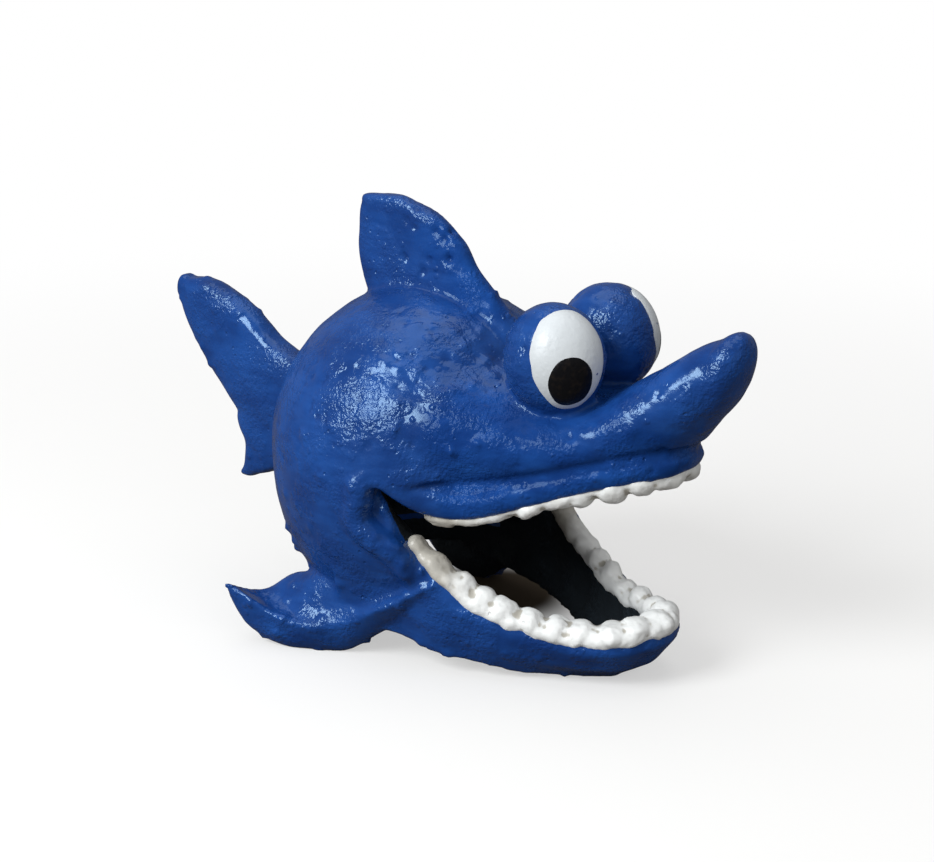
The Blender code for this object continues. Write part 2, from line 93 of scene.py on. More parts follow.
# Pocket behind the mouth's edge beside its corner: its middle, half sizes and depth back
POCKET_MIDDLE = (0.0425, 0.0435)
POCKET_HALF = (0.0050, 0.0100)
POCKET_BOW = 0.0054
THROAT_HEIGHT = 0.0300
THROAT_HALF_WIDTH = 0.0255
CUTTER_REACH = 0.2780
BELOW_FLOOR = -0.0225

# Snout stations as shares (reach, rise, half width in belly radii, half depth)
SNOUT_REACH = 0.0940
SNOUT_RISE = 0.0350
SNOUT_HALF_DEPTH = 0.0300
SNOUT_STATIONS = [
    (0.00, 0.36, 0.91, 1.00),
    (0.23, 0.36, 0.82, 0.80),
    (0.45, 0.34, 0.67, 0.55),
    (0.64, 0.37, 0.52, 0.42),
    (0.79, 0.57, 0.39, 0.45),
    (0.915, 0.80, 0.29, 0.45),
    (1.00, 1.00, 0.21, 0.35),
]

# Upper lip's edge from the front to the corner, as shares (belly radii, reach, bend)
LIP_REACH = 0.0865
SMILE_BEND = 0.0085
LIP_EDGE = [
    (0.000, 1.000, 1.00),
    (0.155, 0.977, 0.94),
    (0.290, 0.913, 0.83),
    (0.400, 0.810, 0.53),
    (0.500, 0.695, 0.12),
    (0.600, 0.555, -0.41),
    (0.700, 0.415, -0.88),
    (0.790, 0.305, -0.82),
    (0.880, 0.225, -0.41),
    (0.922, 0.150, 0.06),
    (0.890, 0.035, 0.77),
]
LIP_HEIGHT = 0.0190
LIP_THICKNESS = 0.0080
PALATE_DEPTH = 0.0070
# Section of the lip from its edge up, with its two rolls, as shares (height, thickness out)
LIP_SECTION = [
    (0.00, -0.19),
    (0.06, 0.00),
    (0.22, 0.08),
    (0.35, 0.02),
    (0.39, -0.10),
    (0.42, -0.40),
    (0.45, -0.26),
    (0.49, -0.20),
    (0.53, -0.34),
    (0.60, -0.38),
    (0.79, -0.70),
    (1.00, -1.38),
]
# Heights above the lip's edge of the two creases over its roll, and their half widths
LIP_CREASES = ((0.0099, 0.0013), (0.0074, 0.0011))
LIP_CREASE_DEPTH = 0.0005
PALATE_SECTION = [(-1.0, -1.0), (0.0, -1.0), (1.0, -1.6)]

# Middle of the lower jaw's wall from the chin back, as shares: radii of the belly wall's
# middle, reach, climb to the mouth corner's height, clearance below, undercut
JAW_REACH = 0.0772
CHIN_HEIGHT = 0.0173
ARM_CLEARANCE = 0.0100
CHIN_UNDERCUT = 0.0158
JAW_WALL = 0.0085
JAW_STATIONS = [
    (0.000, 1.000, 0.00, -0.08, 1.00),
    (0.195, 0.968, -0.01, -0.08, 1.00),
    (0.280, 0.923, -0.025, -0.08, 0.93),
    (0.335, 0.868, -0.04, -0.05, 0.84),
    (0.410, 0.769, -0.044, 0.02, 0.66),
    (0.485, 0.679, -0.008, 0.10, 0.48),
    (0.565, 0.590, 0.05, 0.22, 0.36),
    (0.628, 0.513, 0.12, 0.36, 0.29),
    (0.680, 0.430, 0.22, 0.47, 0.24),
    (0.735, 0.345, 0.36, 0.55, 0.21),
    (0.756, 0.256, 0.50, 0.70, 0.21),
    (0.793, 0.167, 0.71, 0.85, 0.27),
    (0.902, 0.064, 0.93, 1.00, 0.43),
    (0.951, -0.038, 1.035, 1.00, 0.48),
]
# Section of the jaw's wall, round from its outer foot, as shares: half walls, undercut, height
JAW_SECTION = [
    (1.00, -1.00, 0.00),
    (1.00, -0.35, 0.35),
    (1.00, 0.00, 0.75),
    (0.75, 0.00, 1.00),
    (-0.75, 0.00, 1.00),
    (-1.00, 0.00, 0.75),
    (-1.00, -0.25, 0.35),
    (-1.00, -1.00, 0.00),
]

# Teeth: (along, across, up), share of the jaw with teeth, stand of their middles in heights,
# and the band of paint they stand on: half width, half height and rise
LOWER_TOOTH_SIZE = (0.0086, 0.0098, 0.0074)
LOWER_ROW_SHARE = 0.79
LOWER_TOOTH_STAND = 0.02
LOWER_BAND = (0.0045, 0.0030, -0.0008)
LEFT_ROW_INSET = 0.0012
UPPER_TOOTH_SIZE = (0.0104, 0.0070, 0.0052)
UPPER_ROW_SHARE = 0.70
UPPER_TOOTH_STAND = 0.10
UPPER_BAND = (0.0032, 0.0020, 0.0006)

# Eyes: two upright eggs side by side, sunk into the top of the snout
EYE_HALF = (0.0124, 0.0140, 0.0150)
EYE_SINK = 0.0055
EYE_SHARE = 0.41
# The white looks out and forward: turn from straight ahead and lift, half sizes as shares
GAZE_TURN = {-1: math.radians(38), 1: math.radians(53)}
GAZE_LIFT = math.radians(13)
WHITE_HALF = (0.76, 0.86)
# The pupil in the white's own plane: across, up, and half sizes, as shares of the eyeball
PUPIL_AT = (0.02, -0.36)
PUPIL_HALF = (0.47, 0.45)
# Films of paint: waver of the edge, depth of edge and under layer, pupil's height in films
FILM_WAVER = 0.035
FILM_EDGE_DEPTH = 0.0001
FILM_DEPTH = 0.0012
PUPIL_FILMS = 1.7
# The left eye is a little further forward and out than the right one
LEFT_EYE_SHIFT = (0.0004, -0.0004, 0.0006)

# Upright fins as stations from root to tip: leading (y, height), trailing (y, height) and
# half thickness, in metres
BACK_FIN = [
    ((-0.0480, 0.0760), (0.0080, 0.0720), 0.0056),
    ((-0.0370, 0.0850), (0.0140, 0.0840), 0.0054),
    ((-0.0262, 0.0960), (0.0205, 0.0950), 0.0049),
    ((-0.0172, 0.1050), (0.0242, 0.1060), 0.0043),
    ((-0.0122, 0.1125), (0.0242, 0.1135), 0.0038),
    ((-0.0035, 0.1192), (0.0238, 0.1186), 0.0033),
    ((0.0060, 0.1224), (0.0228, 0.1212), 0.0029),
]
TAIL_UPPER = [
    ((0.0300, 0.0700), (0.0300, 0.0430), 0.0064),
    ((0.0470, 0.0706), (0.0500, 0.0400), 0.0062),
    ((0.0580, 0.0748), (0.0690, 0.0480), 0.0060),
    ((0.0690, 0.0832), (0.0790, 0.0570), 0.0055),
    ((0.0800, 0.0880), (0.0860, 0.0650), 0.0050),
    ((0.0880, 0.0892), (0.0925, 0.0745), 0.0043),
    ((0.0930, 0.0888), (0.0952, 0.0815), 0.0036),
]
TAIL_LOWER = [
    ((0.0300, 0.0600), (0.0620, 0.0640), 0.0060),
    ((0.0400, 0.0440), (0.0730, 0.0500), 0.0056),
    ((0.0500, 0.0370), (0.0702, 0.0410), 0.0052),
    ((0.0590, 0.0330), (0.0704, 0.0350), 0.0046),
    ((0.0650, 0.0310), (0.0716, 0.0318), 0.0040),
]

# Side fins: the shoulder, dish, rim, foot and root lines from the mouth corner to the tip, as
# shares (belly radii, length, height of the belly's middle)
SIDE_FIN_LENGTH = 0.0355
SIDE_FIN_LINES = [
    [(0.62, -0.76, 0.64), (0.71, -0.34, 0.60), (0.78, 0.06, 0.58), (0.755, 0.39, 0.52),
     (0.70, 0.68, 0.42), (0.86, 0.87, 0.27), (1.08, 0.985, 0.336)],
    [(0.67, -0.79, 0.56), (0.78, -0.34, 0.37), (0.845, 0.085, 0.24), (0.91, 0.39, 0.19),
     (0.91, 0.62, 0.20), (0.955, 0.82, 0.235), (1.10, 0.985, 0.336)],
    [(0.79, -0.80, 0.52), (0.86, -0.37, 0.345), (0.89, 0.03, 0.20), (0.98, 0.28, 0.17),
     (1.045, 0.56, 0.215), (1.09, 0.76, 0.29), (1.095, 0.985, 0.345)],
    [(0.66, -0.76, 0.39), (0.71, -0.31, 0.16), (0.80, 0.06, -0.055), (0.89, 0.31, -0.075),
     (0.99, 0.56, -0.09), (1.06, 0.87, 0.02), (1.115, 1.00, 0.31)],
    [(0.58, -0.70, 0.45), (0.555, -0.25, 0.19), (0.535, 0.17, 0.075), (0.535, 0.45, 0.055),
     (0.58, 0.70, 0.15), (0.80, 0.90, 0.19), (1.09, 1.00, 0.315)],
]

# Warts and pits scattered in patches: centre (x, y, height), patch radius, how many, height
WART_PATCHES = [
    ((0.0400, -0.0060, 0.0360), 0.017, 30, 0.00075),
    ((0.0430, 0.0040, 0.0520), 0.018, 14, 0.0006),
    ((0.0400, 0.0160, 0.0150), 0.018, 34, 0.0008),
    ((0.0330, -0.0300, 0.0760), 0.012, 9, 0.0008),
    ((0.0300, -0.0200, 0.0880), 0.012, 14, 0.0005),
    ((0.0090, -0.0300, 0.0940), 0.012, 16, 0.0006),
    ((0.0280, -0.0420, 0.0100), 0.022, 18, 0.0008),
    ((0.0050, 0.0760, 0.0820), 0.016, 14, 0.0006),
    ((0.0160, -0.0780, 0.0800), 0.020, 12, 0.0005),
]
PIT_PATCHES = [
    ((0.0330, -0.0050, 0.0850), 0.018, 50, -0.0004),
    ((0.0410, 0.0080, 0.0700), 0.016, 26, -0.0004),
    ((0.0040, -0.0030, 0.1120), 0.010, 9, -0.0011),
    ((0.0130, -0.0480, 0.0990), 0.014, 12, -0.0007),
    ((0.0140, -0.0800, 0.0720), 0.016, 8, -0.0008),
    ((0.0300, -0.0450, 0.0620), 0.020, 16, -0.0004),
]

# Patches where the gloss is dull: centre (x, y, height), radius and strength
DULL_PATCHES = [
    ((0.0300, -0.0370, 0.0700), 0.014, 1.0),
    ((0.0250, -0.0530, 0.0660), 0.014, 0.9),
    ((0.0290, -0.0390, 0.0530), 0.013, 1.0),
    ((0.0220, -0.0600, 0.0600), 0.015, 0.9),
    ((0.0140, -0.0790, 0.0640), 0.014, 0.9),
    ((0.0190, -0.0690, 0.0780), 0.010, 0.5),
    ((0.0024, -0.0190, 0.1020), 0.011, 0.9),
    ((0.0030, -0.0060, 0.1130), 0.009, 0.6),
]

# Lumps of the casting and of the teeth: their size, and how high those of the teeth are
CASTING_LUMP_SIZE = 0.0090
TOOTH_LUMP_SIZE = 0.0042
TOOTH_LUMPS = 0.00055

# Radii of the single warts and pits, from and to
WART_RADII = (0.0009, 0.0016)
PIT_RADII = (0.0008, 0.0014)

# Folds over each eye: their middle, the direction across them, reach, pitch and height
FOLDS_AT = (0.0200, -0.0330, 0.0930)
FOLDS_ACROSS = (-0.55, -0.25, 0.80)
FOLDS_REACH = 0.0095
FOLDS_PITCH = 0.0036
FOLDS_HEIGHT = 0.00045

# Depth at which a dip counts in full, and the rounds of averaging that measure it
CASTING_DIP = (0.00012, 3)
TOOTH_DIP = (0.00016, 10)

# Where along Y the ends of both rows turn darker, and how much darker the upper row is all
# over: partly stain, partly painted shade by the mouth's corners and under the lip
CORNER_STAIN_AND_SHADE = (-0.044, -0.022)
UPPER_STAIN_AND_SHADE = 0.35

# Rounds of smoothing after the voxel remesh
CASTING_SMOOTHING = 5
TOOTH_SMOOTHING = 3

# Seeds of the draws and noises
SEEDS = {
    "scatter": 11, "lumps": 5, "folds": 71, "lower_teeth": 3, "upper_teeth": 8, "white": 4,
    "pupil": 9,
}

# Share of the black inside's faces that are merged away
DEEP_LOSS = 0.8

# Camera: the photograph's frame, and where the belly's middle lands in it
IMAGE = (934, 862)
TARGET_PIXEL = (430, 441)
PIXELS_PER_METRE = 3500
CAMERA_DISTANCE = 0.55
CAMERA_TURN = math.radians(-52)
CAMERA_LIFT = math.radians(18)
SENSOR = 36.0

# Tint of what the blue enamel mirrors, its gloss where it is dull, and the pupils' gloss
SHEEN = (0.55, 0.80, 1.00)
FAINT_GLOSS = 0.10
PUPIL_GLOSS = 0.12

# Strength of the pale room's light, and as the gloss mirrors it
ROOM = 0.32
ROOM_MIRRORED = 0.20

# Lamps: name, place, sides, power, tint, and whether the gloss mirrors it
LAMPS_AIM = (0, 0, 0.06)
LAMPS = [
    ("window", (-0.92, 0.24, 0.76), (0.55, 0.55), 13.5, (0.95, 0.98, 1.0), True),
    ("ceiling", (0.10, 0.15, 1.25), (1.10, 1.10), 4.6, (1.0, 1.0, 1.0), True),
    ("fill", (-0.42, -1.00, 0.50), (0.80, 0.80), 2.6, (1.0, 1.0, 1.0), False),
    ("low_fill", (-0.95, 0.35, 0.10), (0.80, 0.40), 2.2, (1.0, 1.0, 1.0), False),
]

# Floor: half its side, where it turns white, the painted shade under the hollow and where
# that fades, and its colour as the casting sees it
FLOOR_HALF = 3.0
FLOOR_FADE = (0.10, 0.55)
SHADE_AT = (0.026, AXIS_Y - 0.006, 0)
SHADE_FADE = (0.014, 0.034)
SHADED_FLOOR = (0.07, 0.055, 0.04)
DIM_FLOOR = (0.12, 0.11, 0.10)


def length(name, description, default, low, high):
    """A length that a user would change."""
    return FloatProperty(
        name=name, description=description, default=default, min=low, max=high, unit="LENGTH",
    )


def number(name, description, default, low, high):
    """A count that a user would change."""
    return IntProperty(name=name, description=description, default=default, min=low, max=high)


def swatch(name, description, default):
    """A colour that a user would change."""
    return FloatVectorProperty(
        name=name, description=description, default=default, subtype="COLOR",
    )


class CastingSizes(bpy.types.PropertyGroup):
    """Sizes of the casting"""

    belly_radius: length("Belly radius", "Radius of the round belly", 0.045, 0.03, 0.06)
    wall: length("Wall", "Thickness of the belly's wall", 0.008, 0.004, 0.012)
    grain: length("Grain", "Voxel size of the fused casting", 0.0009, 0.0005, 0.002)
    tooth_grain: length("Tooth grain", "Voxel size of the teeth", 0.0005, 0.0003, 0.001)
    lower_teeth: number("Lower teeth", "Lumps in the lower row", 21, 9, 31)
    upper_teeth: number("Upper teeth", "Lumps in the upper row", 18, 8, 30)
    lumps: length("Lumps", "Height of the uneven casting's lumps", 0.0002, 0.0, 0.001)
    paint_film: length("Paint film", "How proud the paint of the eyes is", 0.0005, 0.0001, 0.001)


class PaintColours(bpy.types.PropertyGroup):
    """Colours of the paint and the floor"""

    blue: swatch("Blue", "Blue enamel", (0.0110, 0.064, 0.272))
    # Deep blue also darkens the dips: partly thicker enamel, partly painted shade.
    deep_blue: swatch("Deep blue", "Blue enamel where it is thick", (0.0055, 0.032, 0.158))
    white: swatch("White", "White enamel of the teeth", (0.84, 0.85, 0.84))
    eye_white: swatch("Eye white", "White of the eyes", (0.58, 0.61, 0.63))
    # The stain colour also serves as painted shade in the teeth's dips, corners and upper row.
    stain_and_shade: swatch("Stain", "Thin white enamel in the dips", (0.40, 0.37, 0.31))
    black: swatch("Black", "Black paint inside and on the pupils", (0.005, 0.005, 0.006))
    dust: swatch("Dust", "Dust on the pupils", (0.020, 0.014, 0.010))
    floor: swatch("Floor", "Pale floor", (0.86, 0.85, 0.83))


# Arrays


def smooth_between(stations, shares):
    """Rows of stations read smoothly at shares from 0 to 1.

    On each stretch from b to c, with neighbours a and d and t from 0 to 1, the reading is the
    Catmull-Rom cubic b + t (c - a + t (2a - 5b + 4c - d + t (3b - 3c + d - a))) / 2.
    """
    rows = np.asarray(stations, float)
    at = np.clip(shares, 0.0, 1.0) * (len(rows) - 1)
    i = np.minimum(at.astype(int), len(rows) - 2)
    t = (at - i)[:, None]
    a, b, c = rows[np.maximum(i - 1, 0)], rows[i], rows[i + 1]
    d = rows[np.minimum(i + 2, len(rows) - 1)]
    return b + t * (c - a + t * (2 * a - 5 * b + 4 * c - d + t * (3 * (b - c) + d - a))) / 2


def around(count):
    """Angles evenly spaced round a ring."""
    return np.linspace(0, ROUND, count, endpoint=False)


def unit(rows):
    """Rows of vectors, each made one long."""
    return rows / np.linalg.norm(rows, axis=1, keepdims=True)


def both_sides(left_half):
    """Stations from the right side round to the left, from those of the left side."""
    rows = np.asarray(left_half, float)
    flipped = rows[:0:-1].copy()
    flipped[:, 0] *= -1
    return np.vstack([flipped, rows])


def plan_normals(path):
    """Unit normals of a path seen from above: its run turned a quarter, away from the mouth."""
    run = np.gradient(path[:, :2], axis=0)
    return unit(np.column_stack([run[:, 1], -run[:, 0], np.zeros(len(path))]))


def value_noise(points, seed):
    """Smooth noise from -1 to 1: random values at whole-number corners, blended by 3t2 - 2t3."""
    cell = np.floor(points).astype(np.int64)
    t = points - cell
    t = t * t * (3 - 2 * t)
    total = np.zeros(len(points))
    for corner in np.ndindex(2, 2, 2):
        x, y, z = (cell + corner).T
        mixed = (x * 73856093) ^ (y * 19349663) ^ (z * 83492791) ^ (seed * 2654435761)
        mixed = (mixed ^ (mixed >> 13)) * 1274126177 & 0x7FFFFFFF
        mixed = (mixed ^ (mixed >> 15)) * 668265263 & 0x7FFFFFFF
        weight = np.prod(np.where(corner, t, 1 - t), axis=1)
        total += weight * (mixed / 0x3FFFFFFF - 1)
    return total


def layered_noise(points, size, seed, layers):
    """Value noise summed over layers, each half as large and half as strong as the last."""
    total = np.zeros(len(points))
    for layer in range(layers):
        total += value_noise(points / size * 2**layer, seed + layer) / 2**layer
    return total


def soft_step(values, low, high):
    """0 below low and 1 above high, and 3t2 - 2t3 between them."""
    t = np.clip((values - low) / (high - low), 0, 1)
    return t * t * (3 - 2 * t)


def nearest(points, path, chunk=4000):
    """Index of the nearest point of a path for each point, worked out a chunk at a time."""
    found = []
    for start in range(0, len(points), chunk):
        gaps = points[start:start + chunk, None] - path[None]
        found.append(np.argmin((gaps**2).sum(-1), axis=1))
    return np.concatenate(found)


# Meshes


def new_object(name, mesh):
    """An object of that mesh, lamp or camera in the scene."""
    made = bpy.data.objects.new(name, mesh)
    bpy.context.scene.collection.objects.link(made)
    return made


def clean(mesh, weld=1e-6):
    """Merges doubles and turns every face outward."""
    shape = bmesh.new()
    shape.from_mesh(mesh)
    bmesh.ops.remove_doubles(shape, verts=shape.verts, dist=weld)
    bmesh.ops.dissolve_degenerate(shape, edges=shape.edges, dist=weld)
    bmesh.ops.recalc_face_normals(shape, faces=shape.faces)
    shape.to_mesh(mesh)
    shape.free()


def skins(name, grids):
    """One mesh of closed skins over grids of points, each grid being rows of rings.

    A ring joins its last point to its first, and each end ring is closed by a further ring
    that has shrunk to its middle, which the clean-up merges into one point.
    """
    points, faces, start = [], [], 0
    for grid in grids:
        ends = [np.repeat(grid[k].mean(0)[None], grid.shape[1], axis=0) for k in (0, -1)]
        grid = np.concatenate([ends[0][None], grid, ends[1][None]])
        rows, count = grid.shape[:2]
        index = np.arange(rows * count).reshape(rows, count) + start
        right = np.roll(index, -1, axis=1)
        quads = np.stack([index[:-1], right[:-1], right[1:], index[1:]], axis=-1)
        faces.append(quads.reshape(-1, 4))
        points.append(grid.reshape(-1, 3))
        start += rows * count
    mesh = bpy.data.meshes.new(name)
    mesh.from_pydata(np.vstack(points).tolist(), [], np.vstack(faces).tolist())
    clean(mesh)
    return mesh


def evaluated(source):
    """A new mesh of an object with its modifiers applied, and the object removed."""
    graph = bpy.context.evaluated_depsgraph_get()
    mesh = bpy.data.meshes.new_from_object(source.evaluated_get(graph))
    bpy.data.objects.remove(source)
    return mesh


def read_rows(rows, name):
    """Three numbers of each row, such as its place, as an array."""
    values = np.empty(len(rows) * 3, np.float32)
    rows.foreach_get(name, values)
    return values.reshape(-1, 3).astype(float)


def read_points(mesh):
    """The mesh's points as an array."""
    return read_rows(mesh.vertices, "co")


def read_normals(mesh):
    """The normals at the mesh's points as an array."""
    return read_rows(mesh.vertex_normals, "vector")


def write_points(mesh, points):
    """Moves the mesh's points."""
    mesh.vertices.foreach_set("co", points.astype(np.float32).ravel())
    mesh.update()


def write_value(mesh, name, values):
    """A number for each point of the mesh, which a material reads by name."""
    layer = mesh.attributes.new(name, "FLOAT", "POINT")
    layer.data.foreach_set("value", np.asarray(values, np.float32))


def neighbour_mean(mesh, values, rounds):
    """Each point's value averaged with its neighbours', so many times over."""
    ends = np.empty(len(mesh.edges) * 2, np.int32)
    mesh.edges.foreach_get("vertices", ends)
    a, b = ends.reshape(-1, 2).T
    count = np.bincount(a, minlength=len(values)) + np.bincount(b, minlength=len(values))
    for _ in range(rounds):
        total = np.zeros_like(values)
        np.add.at(total, a, values[b])
        np.add.at(total, b, values[a])
        values = (values + total) / (count[:, None] + 1)
    return values


def dips(mesh, depth, rounds):
    """How far each point lies in a dip, from 0 to 1 at that depth.

    The depth is the point's smoothed place less itself, along its normal.
    """
    points = read_points(mesh)
    smoothed = neighbour_mean(mesh, points, rounds)
    return np.clip(((smoothed - points) * read_normals(mesh)).sum(1) / depth, 0, 1)


def fused(name, source, grain, smoothing):
    """An object made one skin by a voxel remesh and softened by a few rounds of smoothing."""
    fuse = source.modifiers.new("fuse", "REMESH")
    fuse.mode = "VOXEL"
    fuse.voxel_size = grain
    soften = source.modifiers.new("soften", "SMOOTH")
    soften.iterations = smoothing
    mesh = evaluated(source)
    mesh.name = name
    return mesh


def cut(form, *cutters):
    """A form's mesh less its cutters."""
    body = new_object("form", form)
    for cutter in cutters:
        knife = body.modifiers.new(cutter.name, "BOOLEAN")
        knife.operation = "DIFFERENCE"
        knife.object = cutter
    return evaluated(body)


def joined(name, meshes):
    """One object of several meshes, which are removed."""
    shape = bmesh.new()
    for mesh in meshes:
        shape.from_mesh(mesh)
        bpy.data.meshes.remove(mesh)
    mesh = bpy.data.meshes.new(name)
    shape.to_mesh(mesh)
    shape.free()
    return new_object(name, mesh)


def finished(name, mesh, material):
    """A shaded piece of the casting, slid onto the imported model, that rides on its body."""
    points = read_points(mesh)
    points[:, 1] += AXIS_Y
    write_points(mesh, points)
    mesh.shade_smooth()
    mesh.materials.clear()
    mesh.materials.append(material)
    piece = new_object(name, mesh)
    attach(piece, "root")
    return piece


# Forms


def belly_radii(heights, radius, inset=0.0):
    """Radius of the belly at each height.

    With s the share of the way from the middle to the pole, it is r (1 - s2)^(1/2) above the
    middle and r (1 - s^n)^(1/n) below it, n being the fullness.
    """
    up = np.clip((heights - BELLY_MIDDLE) / (BELLY_RISE - inset), 0, 1)
    down = np.clip((BELLY_MIDDLE - heights) / (BELLY_DROP - inset), 0, 1)
    above = np.sqrt(1 - up**2)
    below = (1 - down**BELLY_FULLNESS) ** (1 / BELLY_FULLNESS)
    return (radius - inset) * np.where(heights >= BELLY_MIDDLE, above, below)


def turned_grid(profile, count=128):
    """A profile (radius, height) turned about the belly's axis."""
    turn = around(count)
    radii, heights = np.asarray(profile).T
    x = np.outer(radii, np.cos(turn))
    y = np.outer(radii, np.sin(turn))
    return np.stack([x, y, np.repeat(heights[:, None], count, axis=1)], axis=-1)


def belly_profile(radius, inset=0.0, rows=96):
    """Points down the belly's side, evenly spread in the angle from pole to pole."""
    turn = np.linspace(np.pi / 2, -np.pi / 2, rows)[1:-1]
    reach = np.where(turn > 0, BELLY_RISE, BELLY_DROP) - inset
    heights = BELLY_MIDDLE + reach * np.sin(turn)
    return np.column_stack([belly_radii(heights, radius, inset), heights])


def hollow_grid(radius, wall):
    """The space inside the wall, carried straight down through the opening underneath."""
    profile = belly_profile(radius, wall)
    kept = profile[(profile[:, 1] > BELLY_MIDDLE) | (profile[:, 0] > OPENING_RADIUS)]
    foot = [(OPENING_RADIUS, kept[-1, 1]), (OPENING_RADIUS, BELOW_FLOOR)]
    return turned_grid(np.vstack([kept, foot]))


def prism_grid(half_width, side):
    """A side view of corners (y, height) drawn out to both sides of the middle plane."""
    return np.array([[(x, y, height) for y, height in side] for x in (-half_width, half_width)])


def cheek_edge(heights):
    """Y of the cheeks' edge, which leans forward below the mouth's corner."""
    return -CORNER_REACH - (BELLY_MIDDLE - heights) * math.tan(CHEEK_LEAN)


def pocket_bow(heights):
    """How far the pocket reaches back from the cheek's edge: b cos2 from its middle to its ends."""
    turn = np.clip((heights - POCKET_MIDDLE[1]) / POCKET_HALF[1], -1, 1) * np.pi / 2
    return POCKET_BOW * np.cos(turn) ** 2


def pocket_grid(side, rows=30, count=40):
    """Level ellipses up the cheek's edge, as deep as the pocket bows back there."""
    heights = POCKET_MIDDLE[1] + POCKET_HALF[1] * np.linspace(-0.98, 0.98, rows)
    turn = around(count)
    x = side * POCKET_MIDDLE[0] + POCKET_HALF[0] * np.tile(np.cos(turn), (rows, 1))
    y = cheek_edge(heights)[:, None] + np.outer(pocket_bow(heights), np.sin(turn))
    return np.stack([x, y, np.tile(heights[:, None], count)], axis=-1)


def mouth_opening_grid(radius):
    """The space before the cheeks, from under the upper jaw down past the floor."""
    far = CUTTER_REACH - CORNER_REACH
    side = [
        (-CORNER_REACH, BELLY_MIDDLE),
        (-CUTTER_REACH, BELLY_MIDDLE + far * math.tan(GUM_SLOPE)),
        (-CUTTER_REACH, BELOW_FLOOR),
        (cheek_edge(BELOW_FLOOR), BELOW_FLOOR),
    ]
    return prism_grid(2 * radius, side)


def throat_grid():
    """The low way from the mouth into the hollow, down past the floor."""
    side = [(0, BELOW_FLOOR), (0, THROAT_HEIGHT), (-JAW_REACH, THROAT_HEIGHT),
            (-JAW_REACH, BELOW_FLOOR)]
    return prism_grid(THROAT_HALF_WIDTH, side)


def tube_grid(path, wide, tall, count=24):
    """A tube: ellipses square to the path, on the run's two crossing directions.

    With n the run, the directions are u = n x (0, 0, 1), made a unit, and v = u x n.
    """
    run = unit(np.gradient(path, axis=0))
    u = unit(np.cross(run, (0.0, 0.0, 1.0)))
    v = np.cross(u, run)
    turn = around(count)
    across = np.multiply.outer(np.broadcast_to(wide, len(path)), np.cos(turn))
    upward = np.multiply.outer(np.broadcast_to(tall, len(path)), np.sin(turn))
    return path[:, None] + across[..., None] * u[:, None] + upward[..., None] * v[:, None]


def cheek_rim_grid(side, radius):
    """The rolled rim of a cheek: a tube just inside the edge of the mouth opening."""
    share = np.linspace(0, 1, 40)
    heights = BELLY_MIDDLE * (RIM_TOP + (RIM_FOOT - RIM_TOP) * share)
    seat = RIM_SEAT * RIM_RADIUS
    y = seat + cheek_edge(heights) + pocket_bow(heights)
    x = np.sqrt(belly_radii(heights, radius) ** 2 - y**2) - seat
    swell = RIM_RADIUS * (1 + 0.08 * np.sin(np.pi * share))
    return tube_grid(np.column_stack([side * x, y, heights]), swell, swell)


def snout_places(shares, radius):
    """Snout's middle and half sizes at shares of its stations: y, height, width, depth."""
    reach, rise, wide, deep = smooth_between(SNOUT_STATIONS, shares).T
    return np.column_stack([
        -reach * SNOUT_REACH,
        BELLY_MIDDLE + rise * SNOUT_RISE,
        wide * radius,
        deep * SNOUT_HALF_DEPTH,
    ])


def snout_grid(radius, rows=90, tip_rows=16, count=96):
    """Ellipses along a rising line, the last ones shrunk as a quarter circle is."""
    places = snout_places(np.linspace(0, 1, rows), radius)
    along = places[-1, :2] - places[-1 - rows // 6, :2]
    along /= np.linalg.norm(along)
    turn = np.linspace(0, np.pi / 2, tip_rows + 2)[1:-1, None]
    middle = places[-1, :2] + along * places[-1, 3] * np.sin(turn)
    tip = np.hstack([middle, places[-1, 2:] * np.cos(turn)])
    y, height, wide, deep = np.vstack([places, tip]).T
    turn = around(count)
    x = np.outer(wide, np.cos(turn))
    z = height[:, None] + np.outer(deep, np.sin(turn))
    return np.stack([x, np.repeat(y[:, None], count, axis=1), z], axis=-1)


def lip_path(radius, count=240):
    """The upper lip's edge from the right corner round to the left."""
    rows = np.array(LIP_EDGE) * (radius, -LIP_REACH, SMILE_BEND) + (0, 0, BELLY_MIDDLE)
    return smooth_between(both_sides(rows), np.linspace(0, 1, count))


def lip_grid(radius, section, height, rows):
    """Level rings over the mouth: the lip's edge moved out along its normals and up."""
    path = lip_path(radius)
    outward = plan_normals(path)
    rise, out = smooth_between(section, np.linspace(0, 1, rows)).T
    grid = path[None] + (out * LIP_THICKNESS)[:, None, None] * outward[None]
    grid[..., 2] += (rise * height)[:, None]
    return grid


def jaw_places(radius, wall, count=260):
    """Middle of the jaw's wall from right to left: x, y, top, foot, undercut."""
    scale = (radius - wall / 2, -JAW_REACH, BELLY_MIDDLE - CHIN_HEIGHT, ARM_CLEARANCE,
             CHIN_UNDERCUT)
    rows = np.array(JAW_STATIONS) * scale + (0, 0, CHIN_HEIGHT, 0, 0)
    return smooth_between(both_sides(rows), np.linspace(0, 1, count))


def jaw_grid(radius, wall):
    """A wall swept round the U: its section's corners, leaned in by the undercut."""
    places = jaw_places(radius, wall)
    top, foot, undercut = places[:, 2:].T
    path = places[:, :3].copy()
    path[:, 2] = 0
    outward = plan_normals(path)
    walls, lean, rise = np.array(JAW_SECTION).T
    out = walls * JAW_WALL / 2 + np.outer(undercut, lean)
    grid = path[:, None] + out[..., None] * outward[:, None]
    grid[..., 2] = foot[:, None] + np.outer(top - foot, rise)
    return grid


